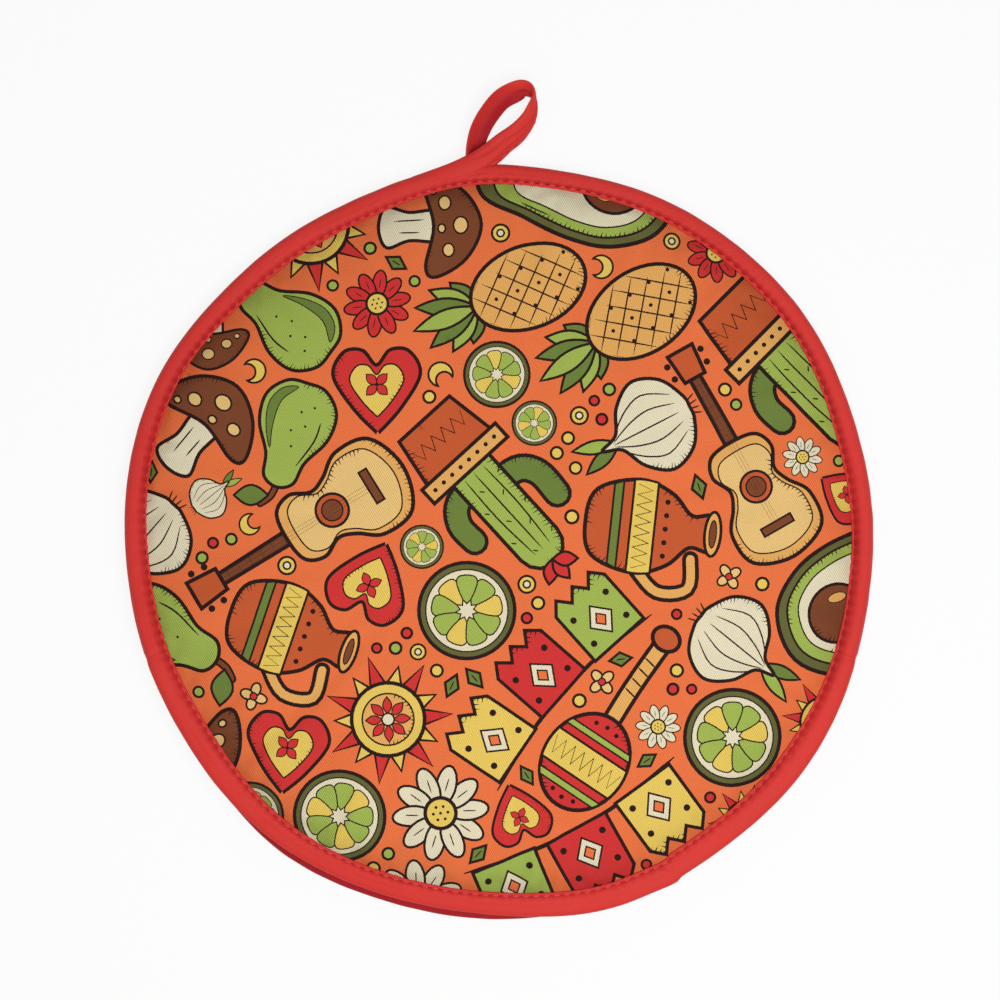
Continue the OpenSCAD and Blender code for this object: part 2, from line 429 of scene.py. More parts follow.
def cloth_rings(path, thickness):
    """Each path of (distance out, height) points becomes a closed ring of cloth about it."""
    thickness = np.asarray(thickness)[..., None, None]
    ahead = unit(np.gradient(path, axis=1))
    side = left_of(ahead)
    outer = path + side * thickness / 2
    inner = path - side * thickness / 2
    first = path[:, :1] - ahead[:, :1] * thickness / 2
    last = path[:, -1:] + ahead[:, -1:] * thickness / 2
    return np.concatenate([first, outer, last, inner[:, ::-1]], 1)


# ---------------------------------------------------------------- binding tape
class Tape:
    """A folded tape round part of the rim, pressed on the faces top and bottom."""

    def __init__(self, half_arc, mouth, radius, width, top, bottom, curled, shaded=0.0):
        middle = MOUTH_MIDDLE if mouth else MOUTH_MIDDLE - 180
        length = math.radians(2 * half_arc) * DISC_R
        self.stitches = round(length / STITCH_PITCH)
        steps = self.stitches * STEPS_PER_STITCH + 1
        self.deg = np.linspace(middle - half_arc, middle + half_arc, steps)
        self.radius, self.width = radius, width
        self.top, self.bottom, self.curled = top, bottom, curled
        # shaded is painted shade on the top of a lip where it peeks out past the other lip
        self.shaded = shaded

    def beat(self, deg):
        """1 in the middle of a stitch and -1 where the needle went in."""
        along = (deg - self.deg[0]) / (self.deg[-1] - self.deg[0])
        return -np.cos(2 * math.pi * along * self.stitches)

    def seam(self, deg):
        """Distance of the seam from the tape's inner edge: least where the rim curls over it."""
        return STITCH_INSET * (1 - 0.35 * self.curled * curl(deg))

    def top_z(self, deg, inset):
        """Middle of the tape above the panel, at a distance out from its inner edge."""
        width = self.width(deg) - FOLD_REACH
        off_seam = inset - self.seam(deg)
        v = np.clip(off_seam / (width - self.seam(deg)), 0, 1)
        arch = np.sin(math.pi * v)
        rise = CURL_RISE * self.curled * curl(deg) * (1 - (1 - v) ** 2)
        puff = PUFF_HEIGHT * (1 + 0.5 * tape_swell(deg)) * arch ** 2
        creep = CREEP_HEIGHT * tape_wave(deg + inset / MM * 0.5) * arch ** 2
        beat = self.beat(deg)
        dip = STITCH_DIP * bump(off_seam, 0.45 * MM) * (0.65 - 0.35 * beat)
        gathers = GATHER_HEIGHT * beat * bump(off_seam - 0.9 * MM, 0.7 * MM)
        dent = KINK_DENT * bump(deg - KINK_DEG + 1.2 - 300 * inset, 0.5) * arch
        return self.top(deg) + TAPE_T / 2 + rise + puff + creep + gathers - dip - dent

    def bottom_z(self, deg, inset):
        sink = bump(inset - self.seam(deg), 0.5 * MM)
        return self.bottom(deg) - TAPE_T / 2 + MM * sink * (0.5 - 0.2 * self.beat(deg))

    def paths(self):
        """The tape's section at each step, from its top edge round the fold to its lower edge."""
        deg = self.deg[:, None]
        width = self.width(deg)
        outer = self.radius(deg)
        flat = width - FOLD_REACH
        inset = flat * np.linspace(0, 1, TOP_STEPS) ** 1.4
        uneven = self.beat(deg) * (1 + 0.8 * tape_swell(deg)) + 0.6 * tape_wave(deg + 70)
        edge = EDGE_UNEVEN * uneven * fade(inset, 0.8 * MM)
        top = np.stack([outer - width + inset - edge, self.top_z(deg, inset)], -1)
        high, low = self.top_z(deg, flat), self.bottom_z(deg, flat)
        turn = np.radians(np.linspace(FOLD_TURN, -FOLD_TURN, FOLD_STEPS))[None, :]
        swell = 1 + 0.015 * tape_wave(deg * 0.7 + 20)
        out = outer - FOLD_REACH + (FOLD_REACH - TAPE_T / 2) * np.cos(turn) ** 0.75 * swell
        up = np.sign(np.sin(turn)) * np.abs(np.sin(turn)) ** 0.9
        fold = np.stack([out, (high + low) / 2 + (high - low) / 2 * up], -1)
        inset = flat * np.linspace(1, 0, UNDER_STEPS)
        under = np.stack([outer - width + inset, self.bottom_z(deg, inset)], -1)
        return np.concatenate([top, fold, under], 1)

    def painted_shade(self, rings):
        """Painted shade on each point of the tape's top: in the seam's crease, and, by shaded, where this
        lip peeks past the other one.
        """
        deg = self.deg[:, None]
        off_seam = rings[..., 0] - self.radius(deg) + self.width(deg) - self.seam(deg)
        bend = self.curled * curl(deg)
        reach = np.where(off_seam < 0, 0.3, 0.45 + 2.4 * bend) * MM
        depth = (0.8 - 0.2 * bend) * bump(off_seam, reach) * (0.8 - 0.2 * self.beat(deg))
        upper = rings[..., 1] > (self.top_z(deg, 0) + self.bottom_z(deg, 0)) / 2
        return (depth + self.shaded * smooth(peek(deg) / 1.5)) * upper

    def build(self, name, material):
        paths = self.paths()
        off_end = np.minimum(self.deg - self.deg[0], self.deg[-1] - self.deg)
        full = smooth(off_end / END_TAPER)
        paths[..., 1] -= 0.18 * MM * (1 - full)[:, None]
        rings = cloth_rings(paths, TAPE_T * (0.55 + 0.45 * full))
        flat = rings[..., :1] * direction(self.deg)[:, None]
        points = np.concatenate([flat, rings[..., 1:]], -1)
        steps, around = rings.shape[:2]
        across = np.linalg.norm(np.diff(paths[0], axis=0), axis=1).cumsum()
        across = np.concatenate([[0, 0], across, [across[-1]], across[::-1], [0]])
        along = np.repeat(np.radians(self.deg) * DISC_R, around)
        uv = np.stack([along, np.tile(across, steps)], -1)
        piece = make_object(name, points.reshape(-1, 3), tube_faces(steps, around, True), uv,
                            material, self.painted_shade(rings).ravel())
        face_outward(piece)
        return piece

    def stitch_line(self, upper):
        """Middles of the stitches, their directions along, and their directions out."""
        share = (np.arange(self.stitches) + 0.5) / self.stitches
        deg = self.deg[0] + share * (self.deg[-1] - self.deg[0])
        way = direction(deg)
        r = self.radius(deg) - self.width(deg) + self.seam(deg)
        face, up = (self.top_z, 1) if upper else (self.bottom_z, -1)
        z = face(deg, self.seam(deg)) + up * TAPE_T / 2
        middle = np.column_stack([way * r[:, None], z])
        along = np.column_stack([left_of(way), np.zeros_like(r)])
        return middle, along, np.tile((0.0, 0.0, up), (len(r), 1))


def build_stitches(name, lines, material):
    """Short threads that dip into the cloth at both ends."""
    middle, along, out = (np.concatenate(part) for part in zip(*lines))
    side = np.cross(along, out)
    rings, around = THREAD_RINGS, THREAD_AROUND
    t = np.linspace(-1, 1, rings)
    turn = np.linspace(0, 2 * math.pi, around, endpoint=False)
    radius = THREAD_R * (1 - 0.45 * t ** 4)
    points = []
    for share, r in zip(t, radius):
        height = THREAD_RISE - THREAD_DIVE * share ** 2
        centre = middle + along * share * STITCH_LENGTH / 2 + out * height
        for a in turn:
            points.append(centre + side * r * math.cos(a) + out * r * math.sin(a))
    points = np.stack(points, 1)
    count, each = points.shape[:2]
    template = np.array(tube_faces(rings, around, False))
    faces = (template[None] + (np.arange(count) * each)[:, None, None]).reshape(-1, 4).tolist()
    for i in range(count):
        base = i * each
        faces.append([base + k for k in range(around)][::-1])
        faces.append([base + each - around + k for k in range(around)])
    wrap = np.tile(np.repeat(t * STITCH_LENGTH / 2, around), count)
    turns = np.tile(np.tile(turn * THREAD_R, rings), count)
    piece = make_object(name, points.reshape(-1, 3), faces, np.stack([wrap, turns], -1),
                        material)
    face_outward(piece)
    return piece


# ---------------------------------------------------------------- print: drawing
STROKE = 1.35
FINE = 0.6
HATCH_PITCH, HATCH_HALF = 1.5, 0.3
HATCH_LENGTHS = (0.62, 1.0, 0.8, 0.5)
CAP_POINTS = 6


def signed_area(p):
    x, y = p[:, 0], p[:, 1]
    return (x * np.roll(y, -1) - y * np.roll(x, -1)).sum() / 2


def anticlockwise(points):
    p = np.asarray(points, float)
    return p if signed_area(p) > 0 else p[::-1]


def grown(points, by):
    """A closed outline moved outward by a distance, with its corners kept short."""
    p = anticlockwise(points)
    edge = unit(np.roll(p, -1, 0) - p)
    out = -left_of(edge)
    both = out + np.roll(out, 1, 0)
    reach = 2 / np.maximum((both ** 2).sum(-1), 0.9)
    return p + both * reach[:, None] * by


def curve(points, closed, steps=6):
    """A smooth line through the points."""
    p = np.asarray(points, float)
    if closed:
        spans = [np.roll(p, k, 0) for k in (1, 0, -1, -2)]
    else:
        q = np.concatenate([p[:1], p, p[-1:]])
        spans = [q[k:len(p) - 1 + k] for k in range(4)]
    a, b, c, d = (s[:, None, :] for s in spans)
    t = np.linspace(0, 1, steps, endpoint=False)[None, :, None]
    line = (2 * b + (c - a) * t + (2 * a - 5 * b + 4 * c - d) * t ** 2
            + (3 * b - a - 3 * c + d) * t ** 3) / 2
    line = line.reshape(-1, p.shape[1])
    return line if closed else np.concatenate([line, p[-1:]])


def symmetric(*right):
    """A smooth closed shape from its right half, top to bottom."""
    left = [(-x, y) for x, y in right[::-1] if x > 0]
    return curve([*right, *left], True)


def ellipse(x, y, rx, ry=None, tilt=0.0, count=32):
    a = np.linspace(0, 2 * math.pi, count, endpoint=False)
    p = np.stack([rx * np.cos(a), (ry or rx) * np.sin(a)], -1)
    return turned(p, tilt) + (x, y)


def turned(points, degrees):
    c, s = math.cos(math.radians(degrees)), math.sin(math.radians(degrees))
    return np.asarray(points, float) @ np.array([[c, s], [-s, c]])


def lens(x0, y0, x1, y1, width):
    """A leaf shape between two points."""
    t = np.linspace(0, 1, 10)
    half = np.sin(math.pi * t) * width / 2
    a, b = np.array([x0, y0], float), np.array([x1, y1], float)
    side = unit(np.array([y0 - y1, x1 - x0], float))
    mid = a + (b - a) * t[:, None]
    return np.concatenate([mid + side * half[:, None], (mid - side * half[:, None])[-2:0:-1]])


def thick(points, width):
    """The outline of a thick line with round ends."""
    line = curve(points, False, 5)
    ahead = unit(np.gradient(line, axis=0))
    side = left_of(ahead) * width / 2
    cap = np.linspace(0, math.pi, CAP_POINTS + 2)[1:-1, None]
    tip = line[-1] + side[-1] * np.cos(cap) + ahead[-1] * width / 2 * np.sin(cap)
    root = line[0] - side[0] * np.cos(cap) - ahead[0] * width / 2 * np.sin(cap)
    return np.concatenate([line + side, tip, (line - side)[::-1], root])


def slab(centre, half, low, high):
    """The part of an ellipse between two heights."""
    (cx, cy), (rx, ry) = centre, half
    y = np.linspace(low, high, 7)
    x = rx * np.sqrt(np.clip(1 - ((y - cy) / ry) ** 2, 0, 1))
    return np.concatenate([np.stack([cx + x, y], -1), np.stack([cx - x, y], -1)[::-1]])


def zigzag(x0, x1, y, height, teeth):
    x = np.linspace(x0, x1, 2 * teeth + 1)
    return [(px, y + (height if k % 2 else 0)) for k, px in enumerate(x)]


class Sketch:
    """A drawing: flat shapes in painting order, in millimetres."""

    def __init__(self):
        self.shapes = []

    def ink(self, points):
        self.shapes.append(("ink", anticlockwise(points)))

    def fill(self, points, colour, stroke=STROKE, shade=()):
        """A filled outline, hatched inward along the stretches that shade gives as shares."""
        self.ink(grown(points, stroke / 2))
        self.shapes.append((colour, grown(points, -stroke / 2)))
        for start, stop, depth in shade:
            self.hatch(points, start, stop, depth)

    def hatch(self, points, start, stop, depth):
        """Short tapered pen strokes inward from a stretch of a closed outline."""
        p = anticlockwise(points)
        p = np.concatenate([p, p[:1]])
        along = np.append(0, np.linalg.norm(np.diff(p, axis=0), axis=1).cumsum())
        places = np.arange(start * along[-1], stop * along[-1], HATCH_PITCH)
        root, tail = (np.stack([np.interp(places + k, along, column) for column in p.T], -1)
                      for k in (0, 0.5))
        ahead = unit(tail - root)
        for k, (at, way, into) in enumerate(zip(root, ahead, left_of(ahead))):
            reach = depth * HATCH_LENGTHS[k % 4]
            tip = at + into * reach + way * reach * 0.25
            self.ink([at - way * HATCH_HALF, at + way * HATCH_HALF, tip])

    def line(self, points, width=FINE, steps=4):
        """A pen line, thinner at its ends."""
        p = curve(points, False, steps) if steps > 1 else np.asarray(points, float)
        ahead = unit(np.gradient(p, axis=0))
        t = np.linspace(-1, 1, len(p))
        half = (width / 2 * (1 - 0.75 * t ** 4))[:, None]
        side = left_of(ahead) * half
        self.ink(np.concatenate([p + side, (p - side)[::-1]]))

    def dots(self, places, radius=0.7):
        for x, y in places:
            self.ink(ellipse(x, y, radius, count=10))


def cactus(s):
    s.fill(thick([(0, -2), (-12, -1), (-17, 5), (-17, 15)], 9), "leaf", shade=[(0.52, 0.9, 2.6)])
    s.fill(thick([(0, -7), (11, -6), (16, 0), (16, 8)], 8.5), "leaf", shade=[(0.12, 0.42, 2.6)])
    s.fill(thick([(0, -12), (0, 24)], 17), "lime", shade=[(0.55, 0.95, 3.2), (0.1, 0.3, 2.2)])
    for x in (-4.2, 0, 4.2):
        s.line([(x, -10), (x * 1.1, 8), (x * 0.8, 26)])
    for k in range(5):
        s.line([(-8 + 4 * (k % 2), -6 + 7 * k), (-6.5 + 4 * (k % 2), -4.4 + 7 * k)], 0.5)
        s.line([(3 + 4 * (k % 2), -4 + 7 * k), (1.6 + 4 * (k % 2), -2.4 + 7 * k)], 0.5)
    for tilt in (-50, 0, 50):
        s.fill(turned(lens(0, 0, 0, 9, 5), tilt) + (0, 31), "red", 0.9)
    s.fill([(-12, -36), (12, -36), (15, -18), (-15, -18)], "brick", shade=[(0.31, 0.48, 3.4)])
    s.fill([(-17.5, -18), (17.5, -18), (17.5, -11.5), (-17.5, -11.5)], "tan")
    s.line(zigzag(-11.5, 11.5, -30, 5, 5), 0.8, 1)
    s.dots([(x, -14.8) for x in range(-14, 15, 4)], 0.8)


def avocado(s):
    half = symmetric((0, 33), (7, 30), (12, 18), (18, 4), (20, -10), (15, -24), (0, -31))
    s.fill(half, "olive")
    s.fill(half * 0.86 + (0, -0.6), "lime", 0.7, [(0.1, 0.42, 1.9)])
    s.fill(half * 0.7 + (0, -1.5), "cream", 0.5, [(0.56, 0.84, 2.6)])
    s.fill(ellipse(0, -10, 9.5, 10), "brown", 1.0, [(0.7, 0.98, 2.6)])
    s.fill(ellipse(-3.6, -6.2, 1.6, 3.2, -30, 14), "tan", 0.3)
    s.line([(7.5, 19), (11.5, 9), (14, 0)], 0.5)
    s.line([(-7.5, 19), (-11, 10)], 0.5)


def citrus(s):
    s.fill(ellipse(0, 0, 17.5, count=44), "olive")
    s.fill(ellipse(0, 0, 15, count=40), "cream", 0.5)
    for k in range(9):
        wedge = curve([(0, 2.5), (3.7, 9.5), (2.6, 12.6), (-2.6, 12.6), (-3.7, 9.5)], True, 3)
        s.fill(turned(wedge, 40 * k), "lime" if k % 3 else "yellow", 0.5)


def sun(s):
    for k in range(14):
        ray = [(-2.9, 12), (2.9, 12), (0.6 * (-1) ** k, 23 if k % 2 else 19)]
        s.fill(turned(ray, 360 / 14 * k), "red" if k % 2 else "yellow", 0.9)
    s.fill(ellipse(0, 0, 13), "yellow")
    s.fill(ellipse(0, 0, 9.2), "tan", 0.6, [(0.5, 0.95, 1.8)])
    for k in range(8):
        s.fill(turned(lens(0, 2, 0, 8, 3.2), 45 * k), "red", 0.45)
    s.fill(ellipse(0, 0, 2.2, count=16), "cream", 0.6)


def daisy(s, petal="cream"):
    for k in range(10):
        s.fill(turned(ellipse(0, 10.5, 3.6, 7, count=20), 36 * k), petal, 0.9)
        s.line(turned([(0, 8), (0.5, 13)], 36 * k), 0.45)
    s.fill(ellipse(0, 0, 5.6, count=26), "yellow")
    s.dots(turned([(0, 0), (2.6, 0), (-2.6, 0), (1.3, 2.3), (-1.3, 2.3), (1.3, -2.3),
                   (-1.3, -2.3)], 8), 0.55)


def red_daisy(s):
    daisy(s, "red")


def maraca(s):
    s.fill(thick([(0, 4), (0.5, -12), (0, -30)], 5.6), "tan")
    for k in range(4):
        s.line([(-2.4, -10 - 4 * k), (2.6, -11 - 4 * k)], 0.6)
    s.fill(ellipse(0, -32, 4.8, 4, count=22), "brick")
    s.fill(ellipse(0, 17, 14, 17, count=44), "red", shade=[(0.52, 0.72, 3), (0.02, 0.2, 3)])
    s.fill(slab((0, 17), (14, 17), 12, 23), "yellow", 0.8)
    s.line(zigzag(-12.6, 12.6, 14.4, 6, 7), 0.8, 1)
    s.fill(slab((0, 17), (14, 17), 26, 28.4), "lime", 0.6)
    s.fill(slab((0, 17), (14, 17), 7, 9.2), "lime", 0.6)
    s.dots([(-4, 4), (0, 3.4), (4, 4), (-4, 30.2), (4, 30.2), (0, 31)], 0.8)


def bunting(s):
    s.line([(-38, 14), (-13, 9.5), (13, 9.5), (38, 14)], 1.4)
    for x, y, tilt, colour in ((-25, 11.5, -7, "lime"), (0, 9.4, 0, "red"), (25, 11.5, 7, "yellow")):
        flag = [(-10.5, 0), (10.5, 0), (10.5, -19), (7, -23), (3.5, -19), (0, -23), (-3.5, -19),
                (-7, -23), (-10.5, -19)]
        move = lambda p: turned(p, tilt) + (x, y)
        s.fill(move(flag), colour, 1.1, [(0.0, 0.2, 2.4)])
        s.fill(move([(0, -3.5), (4.5, -9), (0, -14.5), (-4.5, -9)]), "cream", 0.6)
        s.fill(move([(0, -6.6), (2, -9), (0, -11.4), (-2, -9)]), "ground", 0.5)
        s.dots(move([(-7, -4.5), (7, -4.5), (-7, -14.5), (7, -14.5)]), 1.1)


def pineapple(s):
    for tilt, reach in ((62, 13), (-62, 13), (40, 18), (-40, 18), (20, 22), (-20, 22), (0, 24)):
        s.fill(turned(lens(0, 0, 0, reach, 6.5), tilt) + (0, 10),
               "lime" if abs(tilt) in (0, 40) else "leaf", 0.9)
    body = ellipse(0, -9, 14.5, 21, count=44)
    s.fill(body, "tan", shade=[(0.5, 0.8, 3)])
    for k in range(-4, 5):
        for lean in (-1, 1):
            x = np.linspace(-14, 14, 60)
            y = -9 + lean * x + k * 8
            keep = (x / 13.8) ** 2 + ((y + 9) / 20.3) ** 2 < 1
            if keep.sum() > 5:
                s.line(np.stack([x, y], -1)[keep][::6], 0.55, 1)
    s.dots([(7 * i, -9 + 8 * j - 4 * (i % 2) + 4) for i in (-1, 0, 1) for j in (-2, -1, 0, 1)], 0.7)


def onion(s):
    for x in (-3, -1, 1, 3):
        s.line([(x * 0.6, -18), (x * 1.3, -23)], 0.6)
    s.fill(lens(0, 10, -5, 26, 5), "leaf", 0.9)
    s.fill(lens(0, 10, 5, 27, 5), "lime", 0.9)
    bulb = symmetric((0, 17), (3, 10), (12, 5), (18, -4), (14, -14), (5, -19), (0, -19.5))
    s.fill(bulb, "cream", shade=[(0.18, 0.46, 3)])
    for x in (-12, -6, 0, 6, 12):
        s.line([(x * 0.12, 12), (x * 0.72, 4), (x, -5), (x * 0.62, -15)], 0.6)


def mushroom(s):
    s.fill(symmetric((0, 4), (6, 3), (5.6, -8), (8, -17), (0, -20)), "cream")
    s.line([(-2.5, -2), (-2.2, -14)])
    s.line([(2.5, -4), (2.4, -12)])
    s.fill(symmetric((0, 20), (13, 14), (20, 2), (16, -2), (0, 1.5)), "brown",
           shade=[(0.04, 0.3, 3), (0.56, 0.68, 2)])
    for x, y, r in ((-9, 6, 2.8), (0, 12, 3.3), (9.5, 7, 2.6), (1, 4.6, 1.7), (-14, 1.6, 1.5)):
        s.fill(ellipse(x, y, r, r * 0.85, count=16), "sand", 0.7)


def guitar(s):
    s.fill([(-2.4, 4), (2.4, 4), (2.0, 36), (-2.0, 36)], "brown")
    s.fill([(-4, 35), (4, 35), (5, 46), (-5, 46)], "brick")
    s.dots([(-6.5, 38), (6.5, 38), (-6.8, 43), (6.8, 43)], 1.2)
    body = symmetric((0, 9), (9, 7.5), (12, 1), (9, -6), (11, -12), (16, -20), (14, -32), (0, -37))
    s.fill(body, "tan", shade=[(0.3, 0.62, 2.4)])
    s.fill(body * 0.84 + (0, -2.2), "sand", 0.5, [(0.62, 0.85, 2.4)])
    s.fill(ellipse(0, -9, 5.6, count=26), "brick", 0.9)
    s.fill(ellipse(0, -9, 3.6, count=20), "brown", 0.5)
    s.fill([(-6, -26), (6, -26), (6, -23), (-6, -23)], "brown", 0.7)
    for x in (-1.2, 0, 1.2):
        s.line([(x, -24), (x, 34)], 0.35, 1)
    for k in range(6):
        s.line([(-2, 10 + 4.4 * k), (2, 10 + 4.4 * k)], 0.4, 1)


def pear(s):
    s.fill(thick([(0, 18), (1, 24), (4, 28)], 2.4), "brown", 0.8)
    s.fill(lens(2, 24, 15, 28, 8), "leaf", 0.9)
    body = symmetric((0, 20), (6, 17), (8, 8), (14, -3), (14.5, -14), (8, -21.5), (0, -22.5))
    s.fill(body, "lime", shade=[(0.16, 0.5, 3)])
    s.fill(curve([(7, 6), (11, -2), (12.5, -11), (9, -18), (3, -20), (8, -13), (8.5, -3)], True, 4),
           "leaf", 0.4)
    s.line([(-5, 10), (-9, -1), (-9.5, -9)], 0.7)
    s.dots([(-4, -6), (-1, -11), (-5.5, -14), (1, -3), (-1, 3)], 0.5)


def jug(s):
    s.fill(thick([(9, 13), (19, 13), (21, 3), (14, -5)], 4.2), "tan")
    body = symmetric((0, 19), (6, 18.5), (5.4, 12), (12, 5), (15.5, -6), (11, -20), (0, -23))
    s.fill(body, "brick", shade=[(0.08, 0.2, 2.6), (0.38, 0.5, 3), (0.56, 0.7, 3)])
    s.fill(slab((0, -5), (15.6, 18), -8, 0), "yellow", 0.8)
    s.line(zigzag(-14, 14, -6.6, 5, 8), 0.8, 1)
    s.fill(slab((0, -5), (15.6, 18), -14.5, -11.5), "leaf", 0.7)
    s.dots([(x, 3.6) for x in (-9, -4.5, 0, 4.5, 9)], 0.9)
    s.fill(ellipse(0, 19.5, 7.4, 2.7, count=26), "tan", 1.0)
    s.fill(ellipse(0, 19.5, 4.6, 1.2, count=18), "brown", 0.4)


def heart(s):
    shape = symmetric((0, 7.5), (5, 13), (12, 12.5), (16, 4), (9, -8), (0.6, -17))
    s.fill(shape, "red", shade=[(0.14, 0.46, 2.6)])
    s.fill(shape * 0.62 + (0, -0.6), "yellow", 0.6, [(0.6, 0.8, 1.6)])
    for k in range(4):
        s.fill(turned(lens(0, 0, 0, 5.4, 3.4), 90 * k + 45) + (0, 0.4), "red", 0.4)
    s.dots([(0, 0.4)], 0.7)


def bead(s, colour="lime", radius=2.2):
    s.fill(ellipse(0, 0, radius, count=18), colour, 1.0)


def yellow_bead(s):
    bead(s, "yellow", 2.4)


def red_bead(s):
    bead(s, "red", 2.0)


def ring(s):
    s.fill(ellipse(0, 0, 3.3, count=22), "yellow", 0.9)
    s.fill(ellipse(0, 0, 1.4, count=14), "cream", 0.7)


def diamond(s):
    s.fill([(0, 4.6), (2.8, 0), (0, -4.6), (-2.8, 0)], "leaf", 1.0)
    s.line([(0, 2), (0, -2)], 0.5)


def blossom(s):
    for k in range(4):
        s.fill(turned(ellipse(0, 2.9, 2.0, 2.8, count=16), 90 * k), "sand", 0.8)
    s.fill(ellipse(0, 0, 1.5, count=12), "red", 0.6)


def crescent(s):
    outer = ellipse(0, 0, 4.6, count=20)[3:18]
    inner = ellipse(2.6, 0, 3.2, count=20)[4:17]
    s.fill(np.concatenate([outer, inner[::-1]]), "yellow", 0.8)


# What is printed, largest first: (drawings, how many, tilts to try, scale, clear space round
# each in millimetres, and how strongly each one keeps close to its neighbours, or away)
PRINT_PLAN = [
    ([cactus, pineapple, guitar, avocado, jug, bunting, maraca], 13, 4, 1.22, 1.1, 1),
    ([pear, onion, citrus, mushroom, heart, sun, daisy], 20, 3, 1.08, 1.1, 1),
    ([citrus, red_daisy, heart, mushroom, sun], 14, 3, 0.74, 1.2, 1),
    ([daisy, citrus, onion], 14, 2, 0.5, 1.3, 1),
    ([ring, bead, diamond, yellow_bead, blossom, red_bead, crescent], 110, 1, 1.0, 1.3, -1),
]


# ---------------------------------------------------------------- print: layout
SHEET_CELLS = 240
CELL = 1.5
PRINT_R = 150
HALO = 7.0
LONGEST_SIDE = 3.0


def covers(outline, x, y):
    """Which places lie inside an anticlockwise outline, loops turned inside out left out."""
    a, b = outline[:, :, None], np.roll(outline, -1, 0)[:, :, None]
    left = (b[:, 0] - a[:, 0]) * (y - a[:, 1]) > (x - a[:, 0]) * (b[:, 1] - a[:, 1])
    rises = (a[:, 1] <= y) & (b[:, 1] > y) & left
    falls = (a[:, 1] > y) & (b[:, 1] <= y) & ~left
    return rises.sum(0) > falls.sum(0)


def footprint(shapes, gap):
    """The cells that a drawing needs about its own origin, wrapped round cell 0, 0."""
    cells = np.zeros((SHEET_CELLS, SHEET_CELLS))
    for colour, points in shapes:
        if colour != "ink" or abs(signed_area(points)) < 8:
            continue
        outline = grown(points, gap) / CELL
        low, high = np.floor(outline.min(0)).astype(int), np.ceil(outline.max(0)).astype(int) + 1
        x, y = np.meshgrid(np.arange(low[0], high[0]), np.arange(low[1], high[1]))
        x, y = x.ravel(), y.ravel()
        inside = covers(outline, x, y)
        cells[y[inside] % SHEET_CELLS, x[inside] % SHEET_CELLS] = 1
    return cells


def correlate(field, mask):
    return np.fft.irfft2(np.fft.rfft2(field) * np.conj(np.fft.rfft2(mask)), field.shape)


def lay_out_print(seed):
    """Shapes of the whole print in painting order, each drawing put where it fits."""
    rng = np.random.default_rng(seed)
    axis = (np.arange(SHEET_CELLS) + SHEET_CELLS // 2) % SHEET_CELLS - SHEET_CELLS // 2
    gx, gy = np.meshgrid(axis * CELL, axis * CELL)
    on_sheet = np.hypot(gx, gy) < PRINT_R
    halo = np.exp(-(gx ** 2 + gy ** 2) / (2 * HALO ** 2))
    taken = np.zeros((SHEET_CELLS, SHEET_CELLS))
    placed = []
    for drawings, count, tilts, scale, gap, closeness in PRINT_PLAN:
        for k in range(count):
            sketch = Sketch()
            drawings[k % len(drawings)](sketch)
            near = correlate(taken, halo)
            best = None
            for tilt in rng.uniform(0, 360, tilts):
                size = scale * rng.uniform(0.92, 1.08)
                shapes = [(c, turned(p, tilt) * size) for c, p in sketch.shapes]
                mask = footprint(shapes, gap)
                free = np.argwhere((correlate(taken, mask) < 0.5) & on_sheet)
                if not len(free):
                    continue
                picks = free[rng.integers(0, len(free), 60)]
                nearness = correlate(near, mask)[picks[:, 0], picks[:, 1]] / mask.sum()
                worth = closeness * nearness
                if best is None or worth.max() > best[0]:
                    best = (worth.max(), picks[np.argmax(worth)], shapes, mask)
            if best is None:
                continue
            _, (row, column), shapes, mask = best
            taken = np.maximum(taken, np.roll(mask, (row, column), (0, 1)))
            place = np.array([axis[column], axis[row]]) * CELL
            placed += [(c, p + place) for c, p in shapes]
    return placed


def rings_of_points(edge, spacing):
    """Points spread evenly over a round sheet, in metres."""
    points = [(0.0, 0.0)]
    for k in range(1, int(DISC_R / spacing) + 1):
        count = math.ceil(2 * math.pi * k)
        deg = (np.arange(count) + 0.5 * (k % 2)) * 360 / count
        keep = k * spacing < edge(deg) - spacing / 2
        points += (direction(deg) * k * spacing)[keep].tolist()
    return np.array(points)


def rows_by_tape(edge):
    """Points in rows on each side of the tape's inner edge, in metres."""
    deg = np.linspace(0, 360, TAPE_ROW_STEPS, endpoint=False)
    inner = edge(deg) + EDGE_IN_FOLD - tape_width(deg)
    return np.concatenate([direction(deg) * (inner + offset)[:, None] for offset in TAPE_ROWS])


def refined(outline):
    """A closed outline with more points on its long sides, so that it can follow the relief."""
    ahead = np.roll(outline, -1, 0) - outline
    parts = np.ceil(np.hypot(*ahead.T) / LONGEST_SIDE).astype(int).clip(1)
    share = np.concatenate([np.arange(n) / n for n in parts])
    return np.repeat(outline, parts, 0) + np.repeat(ahead, parts, 0) * share[:, None]


def triangulate(points, rim, outlines=()):
    """Points in millimetres and triangles that fill the rim and follow every outline."""
    corners = [Vector(p) for p in points.tolist()]
    sides = []
    for outline in (rim, *outlines):
        first = len(corners)
        corners += [Vector(p) for p in outline.tolist()]
        sides += [(k, k + 1) for k in range(first, len(corners) - 1)]
        sides.append((len(corners) - 1, first))
    flat, _, triangles, *_ = delaunay_2d_cdt(corners, sides, [], 0, 1e-4)
    flat, triangles = np.array([v[:] for v in flat]), np.array(triangles)
    middle = flat[triangles].mean(1)
    triangles = triangles[covers(rim, middle[:, 0], middle[:, 1])]
    used, numbers = np.unique(triangles, return_inverse=True)
    return flat[used], numbers.reshape(-1, 3)


